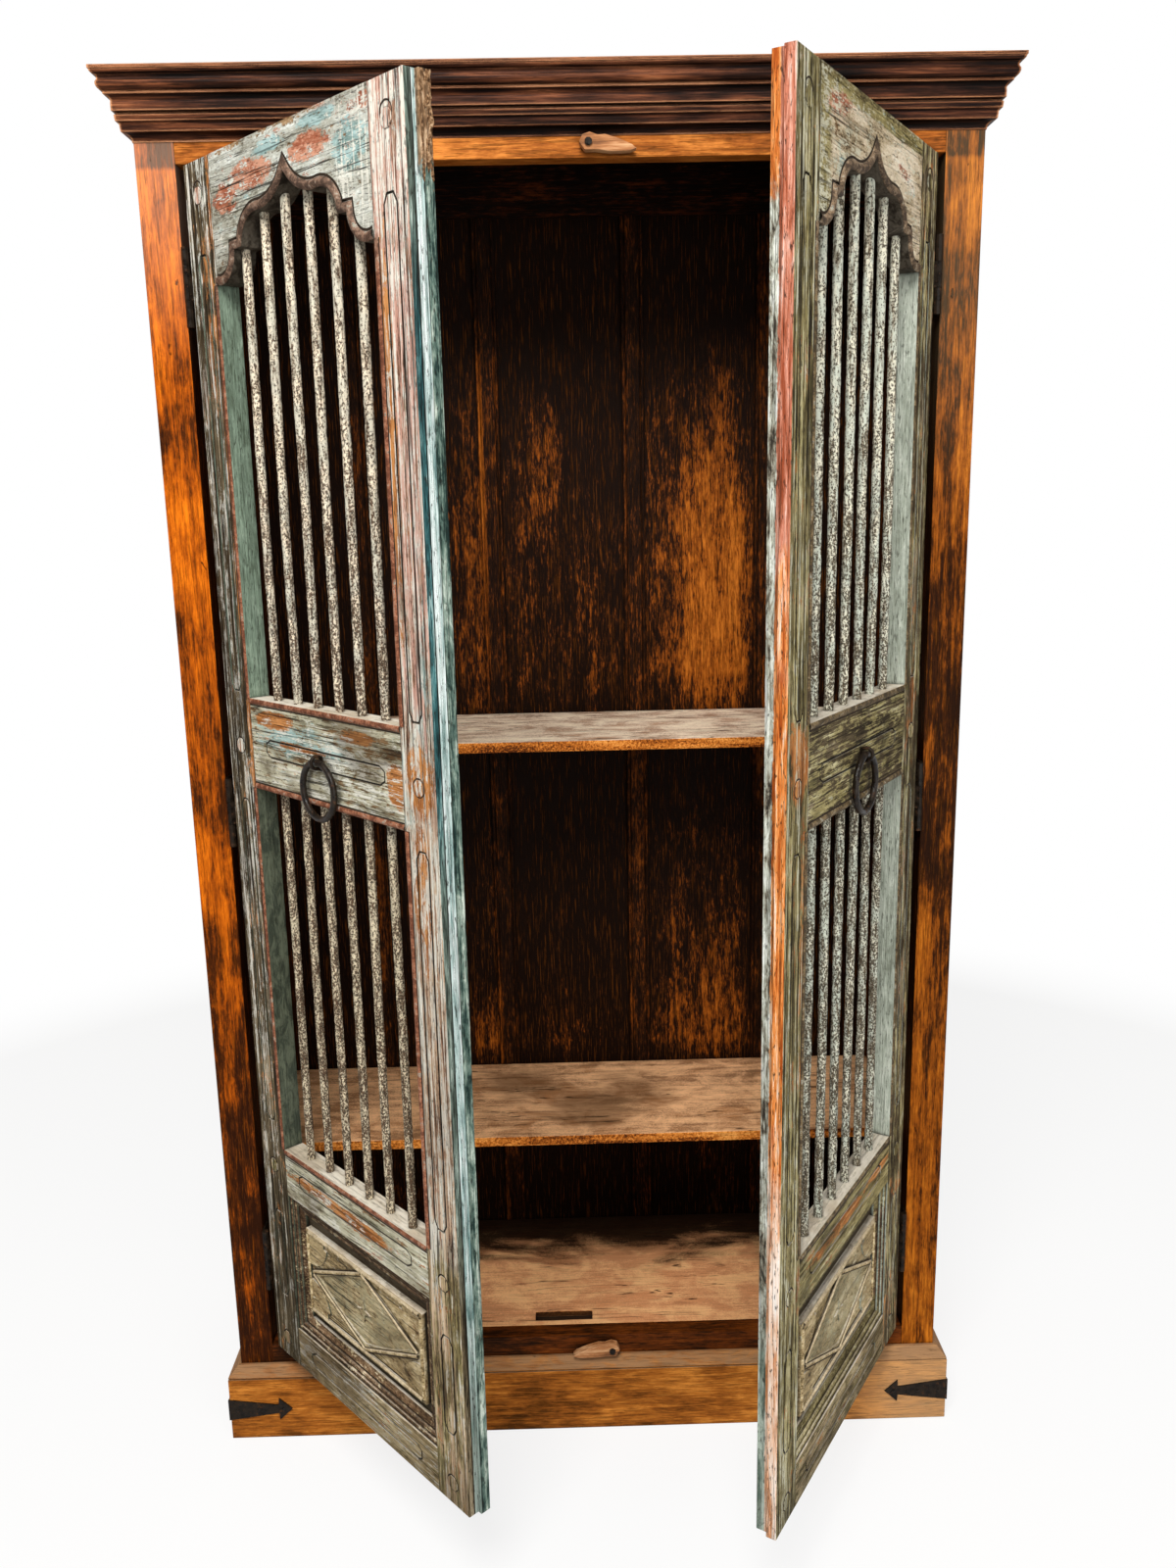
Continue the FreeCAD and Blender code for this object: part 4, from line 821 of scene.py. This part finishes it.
def roll_paint(side):
    """The rolls worked round the windows: brown wood with a little paint left on them."""
    g = Graph(side + "_roll_paint", door_guides[side])
    wear = g.grain(95, 95, 4.0, 7.0, 0.7, 0.6)
    fine = g.grain(420, 420, 8.0, 4.0, 0.65)
    low_dark, high_dark, low_worn, high_worn = ROLL_TONES[side]
    high = g.z.step(1.66, 1.74)
    base = g.coats(
        g.mix(high, low_dark, high_dark),
        (g.blend(0.5, (wear, 0.9), (fine, 0.5)).step(0.42, 0.6), g.mix(high, low_worn, high_worn)),
        (g.blend(0.5, (wear, 0.9), (fine, 0.6)).step(0.6, 0.63), (0.34, 0.33, 0.27)),
        (fine.step(0.58, 0.64, 0.8), (0.02, 0.012, 0.008)),
    )
    return g.finish(base, 0.62, 0.2, g.blend(0.0, (wear, 1.0), (fine, 0.5)), 0.0012)


def bar_paint(side):
    """Cream paint over iron, rusted through in spots that crowd towards the foot."""
    g = Graph(side + "_bar_paint", door_guides[side])
    broad = g.grain(60, 22, 3.0, 5.0, 0.62)
    runs = g.grain(230, 34, 9.0, 4.0, 0.6)
    foot = g.z.step(1.66, 1.2) | g.z.step(1.07, 1.02) * 1.2
    rust = g.blend(foot * 0.045, (g.grain(430, 340, 6.0, 5.0, 0.72), 1.0), (runs, 0.25), (broad, 0.2))
    rust = rust.step(0.022, 0.042)
    if side == "left":
        cool, warm, rusty = (0.64, 0.6, 0.48), (0.9, 0.77, 0.58), (0.085, 0.038, 0.018)
    else:
        cool, warm, rusty = (0.58, 0.61, 0.51), (0.8, 0.76, 0.6), (0.085, 0.06, 0.03)
    base = g.mix(broad.step(0.4, 0.6), cool, warm)
    if side == "left":
        base = g.mix(g.z.step(1.07, 1.02, 0.6), base, (0.76, 0.63, 0.41))
    rusty = g.mix(g.grain(420, 420, 12.0, 2.0, 0.5).step(0.42, 0.6), (0.022, 0.013, 0.008), rusty)
    base = g.coats(base, (runs.step(0.5, 0.64, 0.6), (0.2, 0.125, 0.065)), (rust * 0.92, rusty))
    return g.finish(base, rust.step(0.0, 1.0, 0.85, 0.6), 0.15, broad * 0.3 - rust * 0.8, 0.0006)


def bead_paint(side):
    """Rubbed and dusty ridges of the carving."""
    g = Graph(side + "_bead_paint", door_guides[side])
    wear = g.grain(70, 110, 4.0, 7.0, 0.7, 0.6)
    fine = g.grain(420, 420, 8.0, 4.0, 0.65)
    base = g.coats(
        g.ramp(g.blend(0.5, (wear, 0.9), (fine, 0.6)), *DUN_PAINT),
        (g.up.step(-0.1, 0.7, 0.55), (0.6, 0.5, 0.36)),
        (fine.step(0.6, 0.66, 0.8), (0.03, 0.02, 0.012)),
    )
    return g.finish(base, 0.7, 0.15, g.blend(0.0, (wear, 1.0), (fine, 0.5)), 0.001)


def broken_wood():
    """Splintered end grain, bare and brown."""
    g = Graph("broken_wood", door_guides["left"])
    crumbs = g.grain(230, 150, 4.0, 7.0, 0.74, 0.8)
    pits = g.grain(330, 260, 9.0, 4.0, 0.7)
    base = g.ramp(
        g.blend(0.5, (crumbs, 0.9), (pits, 0.5)),
        (0.36, 0.02, 0.009, 0.004), (0.46, 0.15, 0.075, 0.034), (0.55, 0.4, 0.24, 0.125),
        (0.68, 0.72, 0.54, 0.36),
    )
    return g.finish(base, 0.85, 0.1, g.blend(0.0, (crumbs, 1.0), (pits, 0.6)), 0.0025)


def whittled(body):
    """A hand-cut latch, pale on its arrises, partly rubbed and partly painted highlight."""
    g = Graph(body + "_wood", guide(body + "_wood_guide", body), "x")
    fibre = g.grain(260, 14, 2.0, 5.0, 0.65)
    cuts = g.grain(40, 12, 5.0, 4.0, 0.6, 0.5)
    base = g.ramp(
        cuts * 0.6 + fibre * 0.4, (0.38, 0.1, 0.034, 0.01), (0.5, 0.42, 0.17, 0.06),
        (0.62, 0.74, 0.42, 0.21),
    )
    # Painted highlight over rubbed wood on the arrises
    base = g.mix(g.arris(0.0012) * cuts.step(0.38, 0.5, 0.9, 0.3), base, (0.9, 0.7, 0.5))
    return g.finish(base, 0.6, 0.2, fibre + cuts, 0.0012)


# Near-black laid on as thin sheets: painted shade and grime in the quirks beside the rolls and in the incised
# lines, and the dark rings round the pegs
def quirk_dark():
    g = Graph("dark_quirk", carcass_guide)
    return g.finish(g.mix(g.grain(200, 200, 1.0), (0.012, 0.008, 0.005), (0.05, 0.032, 0.02)), 0.8, 0.15)


# Shapes
class Shell:
    """Points and faces gathered for one piece."""

    def __init__(self):
        self.points = []
        self.faces = []

    def ribbon(self, rows, across=None, closed=False):
        """Skin rows of points, each of them to the next."""
        first, size, count = len(self.points), len(rows[0]), len(rows)
        for row in rows:
            self.points.extend(row)
        for index in range(count if closed else count - 1):
            here = first + index * size
            there = first + (index + 1) % count * size
            for corner in range(across or size - 1):
                following = (corner + 1) % size
                self.faces.append((here + corner, here + following, there + following, there + corner))

    def rings(self, rings, closed=False):
        """Skin rings of points, with an end on the first and the last unless those two meet."""
        first, size = len(self.points), len(rings[0])
        self.ribbon(rings, size, closed)
        if not closed:
            self.faces.append(tuple(range(first + size - 1, first - 1, -1)))
            self.faces.append(tuple(range(len(self.points) - size, len(self.points))))

    def tube(self, steps, sides, place, closed=False):
        """Skin rings whose points are placed by their step and their angle."""
        angles = [2 * pi * corner / sides for corner in range(sides)]
        self.rings([[place(step, angle) for angle in angles] for step in range(steps)], closed)


def add_mesh(name, points, faces, material, smooth=False):
    mesh = bpy.data.meshes.new(name)
    mesh.from_pydata([tuple(p) for p in points], [], faces)
    mesh.validate()
    mesh.update()
    for polygon in mesh.polygons:
        polygon.use_smooth = smooth
    mesh.materials.append(material)
    return add(name, mesh)


def piece(side, name, shell, material, replaced=(), body="door", smooth=True):
    made = add_mesh(side + "_" + name, shell.points, shell.faces, material, smooth)
    body = side + "_" + body
    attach(made, body)
    if replaced:
        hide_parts(*replaced)


def through(start, way, end, count):
    """Points on the arc from start over way to end."""
    a, b, c = complex(*start), complex(*way), complex(*end)
    w = (c - a) / (b - a)
    middle = a + (b - a) * (w - abs(w) ** 2) / (2j * w.imag)
    turn = phase((c - middle) / (a - middle))
    points = [middle + (a - middle) * rect(1, turn * i / count) for i in range(1, count + 1)]
    return [(point.real, point.imag) for point in points]


def half_arch():
    """The left half of the arch line, as (s, z), from its foot to its crown."""
    def at(share):
        return (WINDOW_MIDDLE + share[0] * WINDOW_HALF, ARCH_FOOT + share[1] * ARCH_HEIGHT)

    line = [at((-1, 0))]
    line += through(line[-1], at((-0.79, 0.09)), at((-0.723, 0.35)), 10)
    line.append(at((-0.62, 0.36)))
    line += through(line[-1], at((-0.55, 0.6)), at((-0.395, 0.7)), 10)
    line += through(line[-1], at((-0.14, 0.79)), at((0, 1)), 14)
    return line


ARCH_LINE = half_arch()


def arch_height_at(s):
    s = WINDOW_MIDDLE - abs(s - WINDOW_MIDDLE)
    for (s0, z0), (s1, z1) in zip(ARCH_LINE, ARCH_LINE[1:]):
        if s0 <= s <= s1:
            return z0 + (z1 - z0) * (s - s0) / max(s1 - s0, 1e-6)
    return ARCH_LINE[-1][1]


def offsets(line):
    """For each point of a line, the mitred way out to its left, as a complex number."""
    sharpest = 0.55
    points = [complex(*point) for point in line]
    ways = [1j * (b - a) / abs(b - a) for a, b in zip(points, points[1:])]
    middles = [(a + b) / 2 for a, b in zip(ways[:1] + ways, ways + ways[-1:])]
    return [middle / max(abs(middle), sharpest) ** 2 for middle in middles]


# A roll's section, as shares of its width and of how proud it stands
ROLL = (
    (0.0, 0.0015), (0.0, -0.06), (0.14, -0.21), (0.34, -0.31), (0.56, -0.3), (0.78, -0.2), (0.94, -0.03),
    (1.0, 0.04),
)
ROLL_RISE = 3.2
ARCH_ROLL, WINDOW_ROLL = (0.011, 0.0036, 0.0138), (0.0075, 0.0016, 0.0095)
QUIRK_RISE = -0.0002


def sweep(shell, side, line, section, depth, uneven):
    """A section of (out, rise) carried along a line on a face of the door."""
    rows = []
    for (s, z), way in zip(line, offsets(line)):
        wobble = 1 + uneven * noise.noise(Vector((s * 60, z * 60, 3.0)))
        places = [(s + way.real * out, depth + rise * wobble, z + way.imag * out) for out, rise in section]
        rows.append([on_door(side, *place) for place in places])
    shell.ribbon(rows)


def roll_along(shell, side, line, width, proud, depth=0.0):
    sweep(shell, side, line, [(out * width, rise * proud * ROLL_RISE) for out, rise in ROLL], depth, 0.1)


def quirk_along(shell, side, line, near, far, depth=0.0):
    sweep(shell, side, line, [(near, QUIRK_RISE), (far, QUIRK_RISE)], depth, 0.0)


def straight(a, b, count=40):
    return [(a[0] + (b[0] - a[0]) * i / count, a[1] + (b[1] - a[1]) * i / count) for i in range(count + 1)]


def round_of(corners, count=40):
    """Straight runs from each corner to the next, and back to the first."""
    return [straight(a, b, count) for a, b in zip(corners, corners[1:] + corners[:1])]


def make_rolls(side, material, dark):
    rolls = Shell()
    quirks = Shell()
    left, right = WINDOW_LEFT, WINDOW_RIGHT
    low, high = MID_RAIL
    arch = ARCH_LINE + [(2 * WINDOW_MIDDLE - s, z) for s, z in reversed(ARCH_LINE[:-1])]
    corners = [(right, ARCH_FOOT), (right, high), (left, high), (left, ARCH_FOOT)]
    rising, across, falling = round_of(corners)[:-1]
    lower = round_of([(left, LOWER_RAIL_TOP), (left, low), (right, low), (right, LOWER_RAIL_TOP)])
    runs = [(arch, ARCH_ROLL)] + [(run, WINDOW_ROLL) for run in [falling, rising, across] + lower]
    for run, (width, proud, quirk_end) in runs:
        roll_along(rolls, side, run, width, proud)
        # The quirks are near-black sheets: painted shade and grime beside each roll
        quirk_along(quirks, side, run, width, quirk_end)
    piece(side, "window_rolls", rolls, material)
    piece(side, "window_quirks", quirks, dark)


def panel_frame(half_s, half_z):
    """A rectangle about the middle of the panel, as four runs."""
    corners = ((-1, -1), (-1, 1), (1, 1), (1, -1))
    return round_of([(WINDOW_MIDDLE + a * half_s, PANEL_MIDDLE + b * half_z) for a, b in corners])


def make_carving(side, material, dark):
    """Beads on the panel's border and lozenge, dark lines of painted shade and grime in its moulding and
    cuts, and rings round the pegs.
    """
    beads = Shell()
    lines = Shell()
    for run in panel_frame(FIELD_HALF[0] - 0.0075, FIELD_HALF[1] - 0.0075):
        roll_along(beads, side, run, 0.0065, 0.0022, 0.0078)
        quirk_along(lines, side, run, -0.0016, 0.0, 0.0102)
    half_s, half_z = LOZENGE_HALF
    tips = ((-half_s, 0.0), (0.0, half_z), (half_s, 0.0), (0.0, -half_z))
    for run in round_of([(WINDOW_MIDDLE + a, PANEL_MIDDLE + b) for a, b in tips], 24):
        roll_along(beads, side, run, 0.0055, 0.002, 0.0082)
        quirk_along(lines, side, run, 0.0055, 0.0071, 0.0079)
        quirk_along(lines, side, run, -0.0014, 0.0, 0.0079)
    half_s, half_z = MOULDING_HALF
    for inset, depth in ((0.0006, 0.0024), (0.007, 0.0056), (0.014, 0.0084)):
        for run in panel_frame(half_s - inset, half_z - inset):
            quirk_along(lines, side, run, -0.0015, 0.0, depth)
    near, steps = 0.0101, 36
    for middle in STILE_MIDDLES.values():
        for height in PEG_HEIGHTS:
            rows = []
            for step in range(steps + 1):
                angle = 2 * pi * step / steps
                x, y = cos(angle), sin(angle)
                rough = noise.noise(Vector((middle * 50 + x, height * 9 + y, 2.0)))
                far = near + (0.0013 + 0.0011 * max(0.0, cos(angle - 2.2)) + 0.0004 * rough)
                rows.append([on_door(side, middle + r * x, -0.0003, height + r * y) for r in (near, far)])
            lines.ribbon(rows)
    piece(side, "panel_beads", beads, material)
    piece(side, "incised_lines", lines, dark)


def make_broken_lip(material):
    """The rough, split top of the left door's lip."""
    shell = Shell()
    low_s, high_s, low_t, high_t, foot, top = 0.4868, 0.4945, 0.0152, 0.0306, 1.768, 1.8735
    middle_s, middle_t, last_s, first_t = 0.4909, 0.0224, 0.4948, 0.0147
    outline = []
    for run in round_of([(low_s, low_t), (high_s, low_t), (high_s, high_t), (low_s, high_t)], 8):
        outline += run[:-1]
    rings = []
    for step in range(61):
        share = step / 60
        ring = []
        for index, (s, t) in enumerate(outline):
            start = foot + 0.03 * noise.noise(Vector((index * 0.35, 4.0, 1.0)))
            z = start + (top - start) * share
            place = Vector((s * 260, t * 260, z * 90))
            push = -0.0012 + 0.0034 * noise.noise(place) + 0.0016 * noise.noise(place * 2.6)
            push -= 0.002 * max(0.0, 0.15 - share) / 0.15
            ds, dt = s - middle_s, t - middle_t
            size = hypot(ds, dt)
            out_s, out_t = s + ds / size * push, t + dt / size * push
            ring.append(on_door("left", min(last_s, out_s), max(first_t, out_t), z))
        rings.append(ring)
    shell.rings(rings)
    piece("left", "broken_lip", shell, material, smooth=False)


# The noise that a bar leans by, to the side and to the back: its rate from bar to bar, and its row
BENDS = ((9.1, 1.0), (7.3, 5.0))


def make_bars(side, material):
    shell = Shell()
    for index in range(BARS):
        s = WINDOW_LEFT + (index + 1) * (WINDOW_RIGHT - WINDOW_LEFT) / (BARS + 1)
        z0, z1 = LOWER_RAIL_TOP - 0.012, arch_height_at(s) + 0.01
        count = int((z1 - z0) / 0.0045)

        def place(step, angle):
            z = z0 + (z1 - z0) * step / count
            bends = [noise.noise(Vector((index * rate, z * 3.1, row))) for rate, row in BENDS]
            lean = Vector(bends) * 0.0011
            cell = Vector((cos(angle) * 1.3 + index * 5, sin(angle) * 1.3, z * 150))
            pit = max(0.0, noise.noise(cell * 1.7) - 0.12) * 0.0022
            radius = BAR_RADIUS + 0.0004 * noise.noise(cell * 0.35) - pit
            across, back = lean.x + radius * cos(angle), lean.y + radius * sin(angle)
            return on_door(side, s + across, BAR_DEPTH + back, z)

        shell.tube(count + 1, 16, place)
    piece(side, "iron_bars", shell, material, [side + "_door_bars"])


def torus(shell, centre, ax, ay, az, major, minor, rough, seed, turns=72, sides=16):
    """A forged ring in the plane of ax and ay."""
    def place(turn, b):
        a = 2 * pi * turn / turns
        dent = noise.noise(Vector((cos(a) * 4 + seed, sin(a) * 4, b * 0.8))) * rough
        r = minor * (1 - abs(dent))
        out = ax * cos(a) + ay * sin(a)
        return centre + out * (major + r * cos(b)) + az * (r * sin(b))

    shell.tube(turns, sides, place, closed=True)


def make_ring(side, ring_iron, door_iron):
    """The ring pull, and the eye it hangs in, with a shank through the rail and its clenched end."""
    along, back = AXES[side][1], AXES[side][2]
    up = Vector((0, 0, 1))
    ring_radius, ring_half, eye_radius, hang, shank = 0.037, 0.0045, 0.0081, -0.008, 0.0024
    pull = Shell()
    middle = on_door(side, WINDOW_MIDDLE, hang, RING_HEIGHT - ring_radius)
    torus(pull, middle, along, up, back, ring_radius, ring_half, 0.22, 3.0 if side == "left" else 8.0)
    piece(side, "forged_ring", pull, ring_iron, [side + "_ring_pull"], "ring")
    eye = Shell()
    middle = on_door(side, WINDOW_MIDDLE, hang, RING_HEIGHT)
    torus(eye, middle, back, up, along, eye_radius, shank, 0.15, 5.0, 40, 12)

    def through_rail(step, angle):
        s, z = WINDOW_MIDDLE + shank * cos(angle), RING_HEIGHT + shank * sin(angle)
        return on_door(side, s, -0.0005 + 0.031 * step / 4, z)

    def clenched(step, angle):
        s = -0.009 + 0.018 * step / 8
        r = 0.0021 * (1 - 0.35 * abs(s) / 0.009)
        return on_door(side, WINDOW_MIDDLE + s, 0.0323 + r * cos(angle), RING_HEIGHT + r * sin(angle))

    eye.tube(5, 10, through_rail)
    eye.tube(9, 10, clenched)
    piece(side, "ring_eye", eye, door_iron, [side + "_ring_staple"])


# Dressing of the CAD pieces
def dress(names, material, ease, segments=2, prefix=""):
    """Give CAD pieces their material and eased arrises."""
    for name in names.split():
        made = nodes[prefix + name]
        made.data.materials.clear()
        made.data.materials.append(material)
        attribute = made.data.attributes.get("custom_normal")
        if attribute is not None:
            made.data.attributes.remove(attribute)
        for polygon in made.data.polygons:
            polygon.use_smooth = False
        made.modifiers.new("weld", "WELD").merge_threshold = 0.00002
        flat = made.modifiers.new("flat", "DECIMATE")
        flat.decimate_type = "DISSOLVE"
        flat.angle_limit = radians(1.0)
        eased = made.modifiers.new("ease", "BEVEL")
        eased.width = ease
        eased.segments = segments
        eased.limit_method = "ANGLE"
        eased.angle_limit = radians(32)


BOARD_EASE, BACK_EASE, CORNICE_EASE = 0.0015, 0.0012, 0.0007
CLEAT_EASE, STRAP_EASE, HINGE_EASE = 0.001, 0.0005, 0.0003
DOOR_EASE, BUTTON_EASE = 0.0011, 0.0035
SIDE_TONES = ((0.5, 0.125, 0.01), (0.055, 0.013, 0.002))
PLINTH_TONES = ((0.62, 0.225, 0.035), (0.13, 0.04, 0.005))
PLINTH_LOOK = {"gloss": 0.6, "fleck": 0.3, "level": 0.53, "dusty": (0.3, 0.17, 0.085)}
BOARDS = (
    ("hinge", "z", "hinge_stile"), ("meeting", "z", "meeting_stile joint_pegs"), ("arch", "x", "arch_rail"),
    ("mid", "x", "mid_rail"), ("low", "x", "lower_rail bottom_rail"), ("panel", "x", "carved_panel"),
    ("mould", "x", "panel_moulding"),
)


def wax(names, *about, ease=BOARD_EASE, **more):
    dress(names, waxed_wood(*about, **more), ease)


def dust(names, *about, ease=BOARD_EASE, **more):
    dress(names, dusty_board(*about, **more), ease)


def dress_carcass():
    wax(
        "left_front_post", "left_post_wood", "z", (0.76, 0.178, 0.006), (0.07, 0.0155, 0.0015), 3.1,
        left_post_shade, level=0.525, streaky=0.6, haze=("z", 1.6, 1.9, 0.22, (0.66, 0.46, 0.34)),
    )
    wax(
        "right_front_post", "right_post_wood", "z", (0.5, 0.15, 0.011), (0.042, 0.0105, 0.001), 17.9,
        right_post_shade, level=0.51, streaky=0.8, haze=("z", 1.35, 1.75, 0.14, (0.3, 0.24, 0.14)),
    )
    wax("head_rail", "head_rail_wood", "x", (0.6, 0.2, 0.035), (0.11, 0.032, 0.005), 23.0, level=0.535)
    wax("sill_rail", "sill_wood", "x", (0.24, 0.065, 0.01), (0.03, 0.009, 0.002), 29.0, level=0.46)
    sides = "left_rear_post right_rear_post left_side_panels right_side_panels"
    wax(sides, "side_wood", "z", *SIDE_TONES, 37.0, rear_shade, level=0.49)
    wax("left_side_rails right_side_rails", "side_rail_wood", "y", *SIDE_TONES, 43.0, level=0.49)
    # Painted shade: dark tones and a low level keep the top board near black inside the cabinet
    wax("top_board", "top_wood", "x", (0.2, 0.06, 0.012), (0.02, 0.007, 0.002), 47.0, level=0.44)
    wax(
        "back_panels", "back_wood", "z", (0.45, 0.128, 0.012), (0.022, 0.007, 0.002), 51.0, back_shade,
        fleck=1.0, level=0.465, ease=BACK_EASE,
    )
    wax(
        "back_muntins", "muntin_wood", "z", (0.42, 0.12, 0.012), (0.02, 0.0065, 0.002), 53.0, muntin_shade,
        fleck=0.8, level=0.37, calm=0.6, ease=BACK_EASE,
    )
    # Painted shade: the back rails are given tones near black
    wax(
        "back_rails", "back_rail_wood", "x", (0.16, 0.04, 0.006), (0.01, 0.0035, 0.0012), 57.0,
        fleck=0.6, level=0.38,
    )
    dress("cornice_front", rubbed_cornice("x"), CORNICE_EASE)
    dress("cornice_left cornice_right", rubbed_cornice("y"), CORNICE_EASE)
    wax(
        "plinth_front", "plinth_wood_x", "x", *PLINTH_TONES, 61.0, plinth_dust,
        haze=("x", 0.36, 0.5, 0.5, (0.62, 0.4, 0.2)), **PLINTH_LOOK,
    )
    wax("plinth_left plinth_right", "plinth_wood_y", "y", *PLINTH_TONES, 67.0, plinth_dust, **PLINTH_LOOK)
    dust(
        "upper_shelf", "upper_shelf_wood", "x", (0.34, 0.17, 0.08), (0.08, 0.03, 0.012), 71.0,
        (0.94, 0.69, 0.51), 0.97,
    )
    dust(
        "lower_shelf", "lower_shelf_wood", "x", (0.4, 0.16, 0.05), (0.08, 0.03, 0.009), 73.0,
        (0.86, 0.46, 0.23), 0.92, stains=((0.02, 0.17, 0.47), (0.09, 0.24, 0.47), (-0.1, 0.29, 0.47)),
    )
    dust(
        "floor_board floor_bearers", "floor_board_wood", "x", (0.62, 0.22, 0.07), (0.09, 0.028, 0.008), 79.0,
        (1.0, 0.45, 0.2), 0.95, deep=(0.17, 0.29), thin=0.75, hollow=(-0.085, 0.009, 0.0505, 0.0735, 0.153),
    )
    dust(
        "shelf_cleats", "cleat_wood", "y", (0.2, 0.07, 0.02), (0.03, 0.01, 0.003), 83.0, (0.34, 0.18, 0.08),
        ease=CLEAT_EASE,
    )
    iron = forged_iron("carcass_iron", carcass_guide)
    dress("corner_strap_left corner_strap_right strap_nails", iron, STRAP_EASE)
    dress("hinge_post_leaves hinge_pins turn_button_screws", iron, HINGE_EASE)
    dress("top_turn_button", whittled("top_button"), BUTTON_EASE, 4)
    dress("bottom_turn_button", whittled("bottom_button"), BUTTON_EASE, 4)


def dress_doors():
    dark = quirk_dark()
    for side in OPEN:
        door_iron = forged_iron(side + "_door_iron", door_guides[side])
        ring_iron = forged_iron(side + "_ring_iron", guide(side + "_ring_guide", side + "_ring"), 0.2)
        for board, along, names in BOARDS:
            dress(names, painted(side, board, along), DOOR_EASE, prefix=side + "_")
        dress("hinge_door_leaves", door_iron, HINGE_EASE, prefix=side + "_")
        make_rolls(side, roll_paint(side), dark)
        make_bars(side, bar_paint(side))
        make_carving(side, bead_paint(side), dark)
        make_ring(side, ring_iron, door_iron)
    make_broken_lip(broken_wood())


# Floor, world and lamps
def make_floor():
    g = Graph("floor_paper", None)
    seen = g.rays("Camera", "Glossy", "Transmission")
    far = g.value("VectorMath", g.value("NewGeometry"), out="Value", operation="LENGTH").step(1.0, 2.6)
    dim = g.mix(g.grain(3, 3, 1.0), (0.44, 0.44, 0.435), (0.47, 0.47, 0.465))
    paper = g.value("BsdfDiffuse", g.mix(seen, dim, (0.93, 0.93, 0.925)))
    light = g.value("Emission", (1.0, 1.0, 1.0), 1.0)
    g.node("OutputMaterial", g.value("MixShader", seen * (far | 0.8), paper, light))
    corners = [(-30, -30, 0), (30, -30, 0), (30, 30, 0), (-30, 30, 0)]
    floor = add_mesh("floor", corners, [(0, 1, 2, 3)], g.owner)
    floor.location = (0, 0, -0.0005)


def make_world():
    g = Graph("studio", None, owners=bpy.data.worlds)
    soft = g.value("Background", (1.0, 0.985, 0.96), 0.36)
    white = g.value("Background", (1.0, 1.0, 1.0), 1.0)
    g.node("OutputWorld", g.value("MixShader", g.rays("Camera", "Transmission"), soft, white))
    scene.world = g.owner


def lamp(name, place, target, size, power, tint=(1, 1, 1)):
    data = bpy.data.lights.new(name, "AREA")
    data.shape = "DISK"
    data.size = size
    data.energy = power
    data.color = tint
    made = add(name, data)
    made.location = place
    made.rotation_euler = (Vector(target) - Vector(place)).to_track_quat("-Z", "Y").to_euler()


make_camera()
dress_carcass()
dress_doors()
make_floor()
make_world()
lamp("key", (-0.45, -2.35, 3.7), (0, 0, 0.9), 1.7, 140, (1.0, 0.985, 0.96))
lamp("fill", (1.6, -3.1, 1.3), (0.1, 0, 0.8), 2.2, 48)
